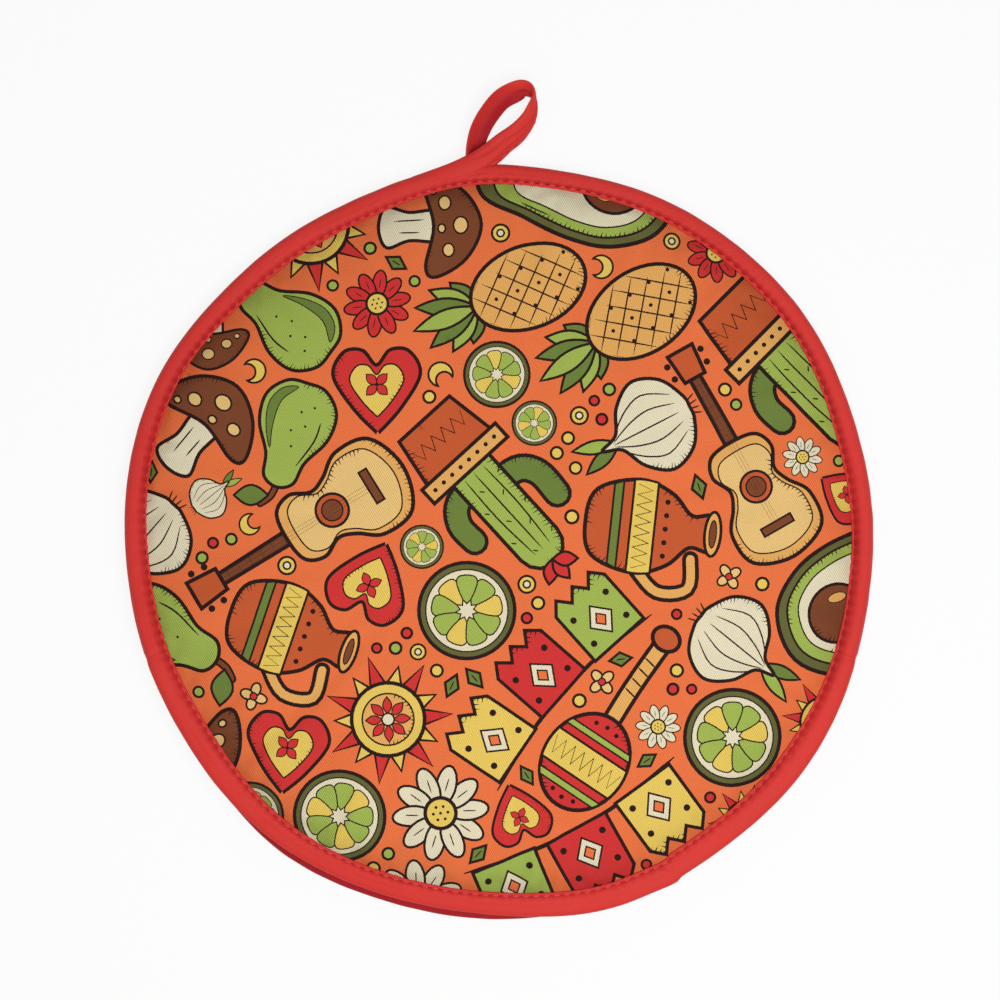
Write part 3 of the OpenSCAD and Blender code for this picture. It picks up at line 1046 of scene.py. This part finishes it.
def painted(middle, shapes):
    """The colour number of each place, the last shape over it winning; 0 is the ground."""
    colours = list(PRINT)
    paint = np.zeros(len(middle), int)
    for colour, outline in shapes:
        (x0, y0), (x1, y1) = outline.min(0), outline.max(0)
        near = np.nonzero((middle[:, 0] > x0) & (middle[:, 0] < x1)
                          & (middle[:, 1] > y0) & (middle[:, 1] < y1))[0]
        if len(near):
            inside = covers(outline, middle[near, 0], middle[near, 1])
            paint[near[inside]] = colours.index(colour)
    return paint


# ---------------------------------------------------------------- panels
EDGE_IN_FOLD = 2.5 * MM
# Width of the painted shade on a cover beside its tape
PAINTED_SHADE_W = 7 * MM
EDGE_STEPS = 480
TAPE_ROW_STEPS = 600
TAPE_ROWS = (-7 * MM, -5 * MM, -3.2 * MM, -1.6 * MM, -0.4 * MM, 0.8 * MM)
COVER_GRID = 3 * MM
REVERSE_GRID = 4 * MM
LAYER_RINGS, LAYER_SPOKES = 64, 360
RING_SPREAD = 0.9


def edge_loop(triangles):
    """Numbers of the points on the outer edge."""
    sides = np.sort(np.concatenate([triangles[:, [0, 1]], triangles[:, [1, 2]],
                                    triangles[:, [2, 0]]]), 1)
    found, times = np.unique(sides, axis=0, return_counts=True)
    return np.unique(found[times == 1])


def in_order(flat, numbers):
    """The edge's point numbers, sorted round the sheet."""
    return numbers[np.argsort(np.arctan2(flat[numbers, 1], flat[numbers, 0]))]


def build_cover(name, edge, face, into, seed, material):
    """A printed cover: a closed sheet of cloth whose outer side carries the print.

    edge gives its radius by angle, face its outer height, and into is -1 or 1, the way
    from the outer side to the reverse.
    """
    deg = np.linspace(0, 360, EDGE_STEPS, endpoint=False)
    rim = edge(deg)[:, None] * direction(deg) / MM
    shapes = lay_out_print(seed)
    points = np.concatenate([rings_of_points(edge, COVER_GRID), rows_by_tape(edge)]) / MM
    flat, outer = triangulate(points, rim, [refined(p) for _, p in shapes])
    paint = painted(flat[outer].mean(1), shapes)
    loop = in_order(flat, edge_loop(outer))
    points = np.concatenate([rings_of_points(edge, REVERSE_GRID), rows_by_tape(edge)]) / MM
    back_flat, back = triangulate(points, flat[loop])
    back_loop = in_order(back_flat, edge_loop(back))
    flat, back_flat = flat * MM, back_flat * MM
    count = len(flat)
    back_loop = back_loop + count
    strip = np.stack([loop, np.roll(loop, -1), np.roll(back_loop, -1), back_loop], -1)

    cloth = np.concatenate([flat, back_flat])
    height = face(*cloth.T)
    height[count:] += into * COVER_T
    points = np.column_stack([cloth, height])
    faces = outer.tolist() + (back + count).tolist() + strip.tolist()
    r, angle = polar(*cloth.T)
    off_tape = edge(angle) + EDGE_IN_FOLD - tape_width(angle) - r
    # Painted shade on the cover, deepest beside the tape where the cover swells
    painted_shade = swollen(angle) / 3 * fade(off_tape, PAINTED_SHADE_W)
    piece = make_object(name, points, faces, cloth, material, painted_shade)

    corners = [3 * len(outer), 3 * len(back), 4 * len(strip)]
    side = np.repeat([0, 1, 2], corners)
    paint_print(piece.data, paint, corners)
    lay_bake_map(piece.data, cloth, side)
    face_outward(piece)
    return piece


def paint_print(mesh, paint, corners):
    """Colours the outer side by triangle, and the reverse and the cut edge plainly."""
    palette = np.array([[*linear(colour), 1] for colour in PRINT.values()])
    outer = np.repeat(palette[paint], 3, axis=0)
    reverse = np.tile([*linear(REVERSE_ORANGE), 1], (corners[1], 1))
    edge = np.tile(palette[0], (corners[2], 1))
    layer = mesh.color_attributes.new("print", "FLOAT_COLOR", "CORNER")
    layer.data.foreach_set("color", np.concatenate([outer, reverse, edge]).ravel())


def lay_bake_map(mesh, cloth, side):
    """A map with room of its own for the outer side, the reverse and the cut edge."""
    corner = np.zeros(len(mesh.loops), np.int32)
    mesh.loops.foreach_get("vertex_index", corner)
    spread = cloth[corner] / (2 * DISC_R + 8 * MM)
    turn = np.degrees(np.arctan2(cloth[corner, 1], cloth[corner, 0])) % 360 / 360
    on_back = corner >= corner[side == 1].min()
    places = [spread * 0.98 + 0.5,
              spread * 0.12 + 0.07,
              np.stack([0.88 + 0.11 * turn, 0.02 + 0.03 * on_back], -1)]
    layer = mesh.uv_layers.new(name="OFBake")
    layer.uv.foreach_set("vector", np.choose(side[:, None], places).astype(np.float32).ravel())


def build_layer(name, edge, high, low, material, rings=LAYER_RINGS, spokes=LAYER_SPOKES):
    """A closed round sheet between two heights, each a function of x and y."""
    deg = np.arange(spokes) * 360 / spokes
    r = np.linspace(0, 1, rings + 1)[1:, None] ** RING_SPREAD * edge(deg)
    x, y = np.append((r[..., None] * direction(deg)).reshape(-1, 2), [(0, 0)], 0).T
    points = np.concatenate([np.stack([x, y, z(x, y)], -1) for z in (high, low)])
    middle, count = rings * spokes, rings * spokes + 1
    sheet = tube_faces(rings, spokes, False)
    sheet += [[k, (k + 1) % spokes, middle] for k in range(spokes)]
    rim = [(rings - 1) * spokes + k for k in range(spokes)]
    faces = sheet + [[v + count for v in f] for f in sheet]
    faces += [[rim[k], rim[(k + 1) % spokes], rim[(k + 1) % spokes] + count, rim[k] + count]
              for k in range(spokes)]
    piece = make_object(name, points, faces, points[:, :2], material)
    face_outward(piece)
    return piece


# ---------------------------------------------------------------- padding
SIM_RINGS, SIM_SPOKES = 40, 240
SIM_FRAMES = 22
SIM_CAP = 1.6 * MM
FILL_DEPTH = 7 * MM


def pad_cloth(proxy, held):
    """Lets slack cloth fill out over its padding, its held points staying where they are."""
    group = proxy.vertex_groups.new(name="held")
    group.add(held, 1.0, "REPLACE")
    modifier = proxy.modifiers.new("cloth", "CLOTH")
    cloth = modifier.settings
    cloth.quality = 6
    cloth.mass = 0.15
    cloth.tension_stiffness = cloth.compression_stiffness = 20
    cloth.shear_stiffness = 8
    cloth.bending_stiffness = 0.15
    cloth.shrink_min = -0.03
    cloth.use_pressure = True
    cloth.uniform_pressure_force = 3
    cloth.vertex_group_mass = "held"
    cloth.effector_weights.gravity = 0
    modifier.point_cache.frame_start = 1
    modifier.point_cache.frame_end = SIM_FRAMES
    for frame_number in range(1, SIM_FRAMES + 1):
        bpy.context.scene.frame_set(frame_number)
    graph = bpy.context.evaluated_depsgraph_get()
    moved = proxy.evaluated_get(graph).data
    flat = np.zeros(len(moved.vertices) * 3)
    moved.vertices.foreach_get("co", flat)
    bpy.context.scene.frame_set(1)
    return flat.reshape(-1, 3)


def simulated_relief(face, edge):
    """The unevenness of a padded face, in metres, as a table by radius and angle.

    A closed proxy of the panel is held at its edge and underside while its top fills out.
    """
    proxy = build_layer("proxy", edge, face, lambda x, y: face(x, y) - FILL_DEPTH, None,
                        SIM_RINGS, SIM_SPOKES)
    before = np.array([v.co[:] for v in proxy.data.vertices])
    top = SIM_RINGS * SIM_SPOKES
    held = [*range(top - SIM_SPOKES, top), *range(top + 1, len(before))]
    after = pad_cloth(proxy, held)
    bpy.data.objects.remove(proxy)
    rise = (after - before)[:top, 2].reshape(SIM_RINGS, SIM_SPOKES)
    rise = rise - rise.mean(1, keepdims=True)
    return SIM_CAP * np.tanh(rise / SIM_CAP)


def table_lookup(table, share, deg):
    """A value of a table by radius and angle, between its entries."""
    rings, spokes = table.shape
    row = np.clip(share ** (1 / RING_SPREAD) * rings - 1, 0, rings - 1.001)
    column = deg / 360 * spokes
    i, j = row.astype(int), column.astype(int) % spokes
    a, b = row - i, column - np.floor(column)
    near = table[i, j] * (1 - b) + table[i, (j + 1) % spokes] * b
    far = table[i + 1, j] * (1 - b) + table[i + 1, (j + 1) % spokes] * b
    return near * (1 - a) + far * a


# ---------------------------------------------------------------- hanging loop
LOOP_STEPS = 8
LOOP_AROUND = 64
LOOP_EASE = 70
LOOP_TURN = (30 * MM, 50 * MM)
# Where along its length the loop turns back, how deep its creases are, and its bow in
# millimetres: on the front strand, and what the back strand adds
LOOP_TIP = 0.61
LOOP_FOLD_DEPTH = 0.45 * MM
LOOP_BOW, LOOP_BACK_BOW = 0.9, 2.2


def back_strand(share):
    """0 on the loop's front strand and 1 on its back strand."""
    return smooth((share - 0.57) / 0.15)


def loop_folds(u, share):
    """The creases along the loop's front strand, 1 in the middle of each."""
    lines = [(0.42 - 0.9 * share, 0.07), (0.7 * share - 0.5, 0.06)]
    fold = sum(bump(u - place, wide) for place, wide in lines)
    return fold * smooth((share - 0.2) / 0.1) * (1 - back_strand(share))


def loop_relief(u, upper, share):
    """How far the loop's tape stands off a flat one: creases along it, and its curl across."""
    flat_tip = 1 - 0.9 * bump(share - LOOP_TIP, 0.045)
    bow = (LOOP_BOW + LOOP_BACK_BOW * back_strand(share)) * flat_tip
    return -LOOP_FOLD_DEPTH * loop_folds(u, share) * upper - bow * MM * (u ** 2 * 4 - 0.3)


def loop_painted_shade(u, share):
    """How much painted shade the loop's tape gets: towards its seam, its hole and its base, and in its
    creases.
    """
    back = smooth((share - 0.55) / 0.1)
    seam = 0.5 * bump(u + 0.36, 0.05) * (1 - back)
    hollow = back * (0.95 * smooth((0.32 - u) / 0.6) + 0.3 * smooth((share - 0.86) / 0.1))
    return seam * smooth((share - 0.2) / 0.1) + hollow + 0.25 * loop_folds(u, share)


def loop_frames():
    """Middle, width, direction, across and face of the loop's tape along its path."""
    path = curve(LOOP_PATH, False, LOOP_STEPS) * MM
    middle, width = path[:, :3], path[:, 3]
    ahead = unit(np.gradient(middle, axis=0))
    along = np.append(0, np.linalg.norm(np.diff(middle, axis=0), axis=1).cumsum())
    off_rim = smooth((along - LOOP_TURN[0]) / (LOOP_TURN[1] - LOOP_TURN[0]))[:, None]
    tilt = np.interp(along / along[-1], *zip(*LOOP_TILT))
    upright = np.stack([np.full_like(tilt, -0.2), np.full_like(tilt, 0.87), tilt], -1)
    lean = unit(middle * (1, 1, 0)) * (1 - off_rim) + upright * off_rim
    for _ in range(LOOP_EASE):
        lean = unit(lean - ahead * (lean * ahead).sum(-1, keepdims=True))
        lean[1:-1] = (lean[:-2] + lean[1:-1] * 2 + lean[2:]) / 4
    across = unit(lean - ahead * (lean * ahead).sum(-1, keepdims=True))
    return middle, width, ahead, across, np.cross(ahead, across), along


def build_loop(material):
    """The loop's tape as one closed tube, flat in section, with its relief."""
    middle, width, _, across, face, along = loop_frames()
    a = np.linspace(0, 2 * math.pi, LOOP_AROUND, endpoint=False)
    u = np.cos(a) / 2
    v = np.sign(np.sin(a)) * np.sqrt(1 - np.abs(np.cos(a)) ** 5) / 2
    share = along[:, None] / along[-1]
    out = width[:, None] * u
    up = LOOP_T * v + loop_relief(u, np.sign(v), share)
    points = middle[:, None] + across[:, None] * out[..., None] + face[:, None] * up[..., None]
    uv = np.stack(np.broadcast_arrays(along[:, None], out + width[:, None] / 2), -1)
    # Painted shade along the loop's seam and folds, in its hollow and at its base
    painted_shade = loop_painted_shade(np.broadcast_to(u, out.shape), share)
    piece = make_object("tape_loop", points.reshape(-1, 3),
                        tube_faces(len(middle), LOOP_AROUND, True), uv.reshape(-1, 2),
                        material, painted_shade.ravel())
    face_outward(piece)
    return piece


# ---------------------------------------------------------------- materials
def linear(colour):
    c = np.asarray(colour, float) / 255
    return np.where(c <= 0.04045, c / 12.92, ((c + 0.055) / 1.055) ** 2.4)


def connect(tree, source, socket):
    """Links another node's output to a socket, or sets a plain value on it."""
    if hasattr(source, "is_linked"):
        tree.links.new(source, socket)
    else:
        socket.default_value = source


def add_node(tree, kind, *sources, **settings):
    """A node with its settings, its first sockets fed from outputs or plain values."""
    node = tree.nodes.new("ShaderNode" + kind)
    for name, value in settings.items():
        setattr(node, name, value)
    for source, socket in zip(sources, node.inputs):
        connect(tree, source, socket)
    return node


class Cloth:
    """A cloth material whose tone, roughness and relief vary with its weave."""

    def __init__(self, name, sheen, specular):
        self.material = bpy.data.materials.new(name)
        self.material.use_nodes = True
        self.tree = self.material.node_tree
        self.shader = self.tree.nodes["Principled BSDF"]
        self.shader.inputs["Sheen Weight"].default_value = sheen
        self.shader.inputs["Specular IOR Level"].default_value = specular
        self.place = add_node(self.tree, "UVMap", uv_map="cloth").outputs["UV"]

    def math(self, operation, *sources):
        return add_node(self.tree, "Math", *sources, operation=operation).outputs[0]

    def vector_math(self, operation, *sources):
        return add_node(self.tree, "VectorMath", *sources, operation=operation)

    def wave(self, degrees, pitch):
        """A wave from -1 to 1 whose crests lie square to a direction in the cloth."""
        turns = 2 * math.pi / pitch
        angle = math.radians(degrees)
        way = (turns * math.cos(angle), turns * math.sin(angle), 0)
        return self.math("SINE", self.vector_math("DOT_PRODUCT", self.place, way).outputs["Value"])

    def noise(self, size, stretch=1.0, detail=2.0):
        """Random unevenness from about -1 to 1, of a size in metres, longer along U."""
        scale = (1 / (size * stretch), 1 / size, 1)
        node = add_node(self.tree, "TexNoise",
                        self.vector_math("MULTIPLY", self.place, scale).outputs[0])
        node.inputs["Scale"].default_value = 1
        node.inputs["Detail"].default_value = detail
        return self.math("MULTIPLY_ADD", node.outputs["Fac"], 2, -1)

    def painted(self, layer):
        """The colour that a mesh carries in a layer of its own."""
        return add_node(self.tree, "VertexColor", layer_name=layer).outputs["Color"]

    def painted_shade(self):
        """Painted shade from 0 to 1, which the mesh carries."""
        return self.math("MULTIPLY", self.painted("painted_shade"), 1.0)

    def between(self, share, first, second):
        """A colour from first to second."""
        step = (*(linear(second) - linear(first)),)
        return self.vector_math("MULTIPLY_ADD", share, step, (*linear(first),)).outputs[0]

    def mix(self, base, *parts):
        """base plus each (amount, value) part."""
        total = base
        for amount, value in parts:
            total = self.math("MULTIPLY_ADD", value, amount, total)
        return total

    def finish(self, colour, tone, roughness, relief, depth):
        """Feeds the shader a colour scaled by a tone, a roughness, and a relief of a depth."""
        tinted = self.vector_math("SCALE", colour)
        relieved = add_node(self.tree, "Bump")
        relieved.inputs["Distance"].default_value = depth
        connect(self.tree, tone, tinted.inputs["Scale"])
        connect(self.tree, relief, relieved.inputs["Height"])
        connect(self.tree, tinted.outputs[0], self.shader.inputs["Base Color"])
        connect(self.tree, roughness, self.shader.inputs["Roughness"])
        connect(self.tree, relieved.outputs[0], self.shader.inputs["Normal"])
        return self.material


def printed_twill():
    cloth = Cloth("printed_twill", 0.03, 0.12)
    rib, yarn = cloth.wave(30, 0.8 * MM), cloth.wave(-60, 0.55 * MM)
    twill = cloth.math("MULTIPLY", rib, cloth.mix(0.75, (0.25, yarn)))
    slow, fine = cloth.noise(22 * MM), cloth.noise(0.6 * MM)
    # The tone darkens by the painted shade beside the tape
    tone = cloth.mix(1.0, (0.2, twill), (0.04, slow), (0.02, fine), (-0.34, cloth.painted_shade()))
    return cloth.finish(cloth.painted("print"), tone,
                        cloth.mix(0.68, (0.05, slow), (0.05, twill)), twill, 0.05 * MM)


def binding_tape():
    cloth = Cloth("binding_tape", 0.03, 0.16)
    rib, yarn = cloth.wave(48, 0.75 * MM), cloth.wave(-42, 0.5 * MM)
    weave = cloth.math("MULTIPLY", rib, cloth.mix(0.7, (0.3, yarn)))
    slow, fine = cloth.noise(9 * MM, 1.6), cloth.noise(0.7 * MM)
    # The tape's red turns towards a darker red by its painted shade
    return cloth.finish(cloth.between(cloth.painted_shade(), BINDING_RED, PAINTED_SHADE_RED),
                        cloth.mix(1.0, (0.07, weave), (0.06, slow), (0.04, fine)),
                        cloth.mix(0.55, (0.06, slow), (0.04, weave)), weave, 0.04 * MM)


def sewing_thread():
    cloth = Cloth("sewing_thread", 0.03, 0.25)
    twist, fine = cloth.wave(50, 0.45 * MM), cloth.noise(0.4 * MM)
    return cloth.finish((*linear(THREAD_RED),), cloth.mix(1.0, (0.22, twist), (0.08, fine)),
                        cloth.mix(0.5, (0.08, fine)), twist, 0.05 * MM)


def lining_cloth():
    cloth = Cloth("lining_cloth", 0.05, 0.15)
    weave = cloth.math("MULTIPLY", cloth.wave(0, 0.6 * MM), cloth.wave(90, 0.6 * MM))
    slow, fine = cloth.noise(14 * MM), cloth.noise(0.9 * MM)
    return cloth.finish((*linear(LINING_CREAM),),
                        cloth.mix(0.98, (0.05, weave), (0.04, slow), (0.04, fine)),
                        cloth.mix(0.75, (0.05, slow)), weave, 0.05 * MM)


def needled_wadding():
    cloth = Cloth("needled_wadding", 0.3, 0.2)
    fibre, lump = cloth.noise(1.2 * MM, 4, 5.0), cloth.noise(9 * MM, 1, 3.0)
    return cloth.finish((*linear(WADDING_WHITE),), cloth.mix(0.95, (0.10, fibre), (0.06, lump)),
                        cloth.mix(0.9, (0.05, fibre)), cloth.mix(fibre, (1.5, lump)), 0.3 * MM)


# ---------------------------------------------------------------- camera, lights and floor
VIEW_WIDTH = 404.8 * MM
VIEW_MIDDLE = (-0.235 * MM, 17.22 * MM)
EYE_HEIGHT = 1.2
SENSOR = 36.0
SKY_LOW, SKY_HIGH = 0.16, 0.5
LAMP_PLACE = (0.14, -0.17, 0.82)
LAMP_SIZE = 0.6
LAMP_WATTS = 5.15
FLOOR_HALF = 2.0
FLOOR_Z = -0.2 * MM
FLOOR_GREY = 0.9
FLOOR_GLOW = 0.85


def build_camera():
    """A long lens straight above, framed as the photograph is."""
    camera = bpy.data.objects.new("camera", bpy.data.cameras.new("camera"))
    camera.location = (*VIEW_MIDDLE, EYE_HEIGHT + JOINED_H / 2)
    camera.data.sensor_width = SENSOR
    camera.data.lens = SENSOR * EYE_HEIGHT / VIEW_WIDTH
    bpy.context.scene.collection.objects.link(camera)
    bpy.context.scene.camera = camera


def seen_directly(tree):
    """1 for what the camera sees, itself or in a reflection, and 0 for light on the object."""
    path = add_node(tree, "LightPath").outputs
    total = path["Is Camera Ray"]
    for name in ("Is Glossy Ray", "Is Transmission Ray"):
        total = add_node(tree, "Math", total, path[name], operation="MAXIMUM").outputs[0]
    return total


def build_world():
    """A sky that is brighter overhead, and white where it is seen directly."""
    world = bpy.data.worlds.new("studio")
    world.use_nodes = True
    tree = world.node_tree
    way = add_node(tree, "TexCoord").outputs["Generated"]
    height = add_node(tree, "SeparateXYZ", way).outputs["Z"]
    sky = add_node(tree, "MapRange", height, 0, 1, SKY_LOW, SKY_HIGH).outputs[0]
    level = add_node(tree, "MapRange", seen_directly(tree), 0, 1, sky, 1).outputs[0]
    background = tree.nodes["Background"]
    background.inputs["Color"].default_value = (1, 1, 1, 1)
    tree.links.new(level, background.inputs["Strength"])
    bpy.context.scene.world = world


def build_lamp():
    data = bpy.data.lights.new("softbox", "AREA")
    data.size = LAMP_SIZE
    data.energy = LAMP_WATTS
    lamp = bpy.data.objects.new("softbox", data)
    lamp.location = LAMP_PLACE
    lamp.rotation_euler = Vector(LAMP_PLACE).to_track_quat("Z", "Y").to_euler()
    bpy.context.scene.collection.objects.link(lamp)


def build_floor():
    """A pale floor that keeps the object's shadow."""
    material = bpy.data.materials.new("floor")
    material.use_nodes = True
    tree = material.node_tree
    tree.nodes.clear()
    diffuse = add_node(tree, "BsdfDiffuse", (FLOOR_GREY, FLOOR_GREY, FLOOR_GREY, 1))
    share = add_node(tree, "Math", seen_directly(tree), FLOOR_GLOW, operation="MULTIPLY")
    blend = add_node(tree, "MixShader", share.outputs[0], diffuse.outputs[0],
                     add_node(tree, "Emission").outputs[0])
    add_node(tree, "OutputMaterial", blend.outputs[0])
    corners = [(x * FLOOR_HALF, y * FLOOR_HALF, FLOOR_Z) for x, y in ((-1, -1), (1, -1), (1, 1), (-1, 1))]
    make_object("floor", corners, [[0, 1, 2, 3]], material=material)


bpy.context.scene.view_settings.view_transform = "Standard"
build_camera()
build_world()
build_lamp()
build_floor()

# ---------------------------------------------------------------- the pouch
TWILL, TAPE, THREAD = printed_twill(), binding_tape(), sewing_thread()
LINING, WADDING = lining_cloth(), needled_wadding()
LIP_ARC = MOUTH_HALF + 5.5
SKIN_GAP = 0.12 * MM
LOOP_SEAM = (24 * MM, 58 * MM)
LOOP_SEAM_INSET = 1.2 * MM


def front_edge(deg):
    return front_rim_r(deg) - EDGE_IN_FOLD


def back_edge(deg):
    share = lip_share(deg)
    return rim_r(deg) * (1 - share) + back_lip_r(deg) * share - EDGE_IN_FOLD


FRONT_RELIEF = simulated_relief(smooth_front, tape_edge)


def front_face(x, y):
    """Height of the front cover."""
    if FRONT_RELIEF is None:
        return smooth_front(x, y)
    r, deg = polar(x, y)
    return smooth_front(x, y) + table_lookup(FRONT_RELIEF, np.minimum(r / tape_edge(deg), 1), deg)


def front_reverse(x, y):
    """Height of the inner side of the front panel."""
    r, deg = polar(x, y)
    return front_face(x, y) - panel_depth(r, front_edge(deg))


def back_reverse(x, y):
    r, deg = polar(x, y)
    return back_face(x, y) + panel_depth(r, back_edge(deg))


def above(face, by):
    return lambda x, y: face(x, y) + by


def sewn(tape, name):
    """A tape and its stitches, above and below."""
    lines = [tape.stitch_line(True), tape.stitch_line(False)]
    return tape.build(name + "_binding", TAPE), build_stitches(name + "_stitches", lines, THREAD)


def build_front():
    cover = build_cover("front_panel_cover", front_edge, front_face, -1, PRINT_SEEDS["front"], TWILL)
    wadding = build_layer("front_panel_wadding", front_edge, above(front_face, -COVER_T - SKIN_GAP),
                          above(front_reverse, LINING_T + SKIN_GAP), WADDING)
    lining = build_layer("front_panel_lining", front_edge, above(front_reverse, LINING_T),
                         front_reverse, LINING)
    lip = Tape(LIP_ARC, True, front_lip_r, lip_tape_width,
               lambda deg: front_rim_z(deg) - TUCK_DEPTH * tucked(deg),
               lambda deg: front_rim_z(deg) - RIM_PANEL_T, 1)
    tape, stitches = sewn(lip, "front_lip")
    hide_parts("front_cover", "front_cover_flap")
    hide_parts("front_wadding", "front_wadding_flap")
    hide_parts("front_lining", "front_lining_flap")
    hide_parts("front_mouth_binding")
    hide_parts("front_mouth_stitching")
    for piece in (cover, wadding, lining, tape, stitches):
        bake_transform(piece)


def build_back():
    cover = build_cover("back_panel_cover", back_edge, back_face, 1, PRINT_SEEDS["back"], TWILL)
    wadding = build_layer("back_panel_wadding", back_edge, above(back_reverse, -LINING_T - SKIN_GAP),
                          above(back_face, COVER_T + SKIN_GAP), WADDING)
    lining = build_layer("back_panel_lining", back_edge, back_reverse,
                         above(back_reverse, -LINING_T), LINING)
    lip = Tape(LIP_ARC, True, back_lip_r, lip_tape_width,
               lambda deg: back_rim_z(deg) + RIM_PANEL_T, back_rim_z, 0, 0.9)
    tape, stitches = sewn(lip, "back_lip")
    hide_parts("back_cover")
    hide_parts("back_wadding")
    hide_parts("back_lining")
    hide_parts("back_mouth_binding")
    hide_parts("back_mouth_stitching")
    for piece in (cover, wadding, lining, tape, stitches):
        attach(piece, "pouch")


def build_joined_rim():
    rim = Tape(180 - MOUTH_HALF, False, rim_r, tape_width,
               lambda deg: front_rim_z(deg) + 0.45 * TAPE_T * lap_share(deg),
               lambda deg: np.full_like(deg, TAPE_T), 1)
    tape, stitches = sewn(rim, "joined")
    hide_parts("rim_binding")
    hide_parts("rim_stitching")
    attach(tape, "pouch")
    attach(stitches, "pouch")


def loop_stitch_line():
    """Stitches along the outer edge of the loop's front strand."""
    middle, width, ahead, across, face, along = loop_frames()
    places = np.arange(*LOOP_SEAM, STITCH_PITCH)
    sample = lambda values: np.stack([np.interp(places, along, column) for column in values.T], -1)
    out = sample(face)
    wide = np.interp(places, along, width)
    off_middle = LOOP_SEAM_INSET - wide / 2
    up = 0.5 * LOOP_T + loop_relief(off_middle / wide, 1, places / along[-1])
    centre = sample(middle) + sample(across) * off_middle[:, None] + out * up[:, None]
    return centre, unit(sample(ahead)), unit(out)


def build_hanging_loop():
    loop = build_loop(TAPE)
    stitches = build_stitches("tape_loop_stitches", [loop_stitch_line()], THREAD)
    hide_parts("hanging_loop", "loop_tail")
    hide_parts("loop_stitching")
    for piece in (loop, stitches):
        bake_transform(piece)


build_front()
build_back()
build_joined_rim()
build_hanging_loop()
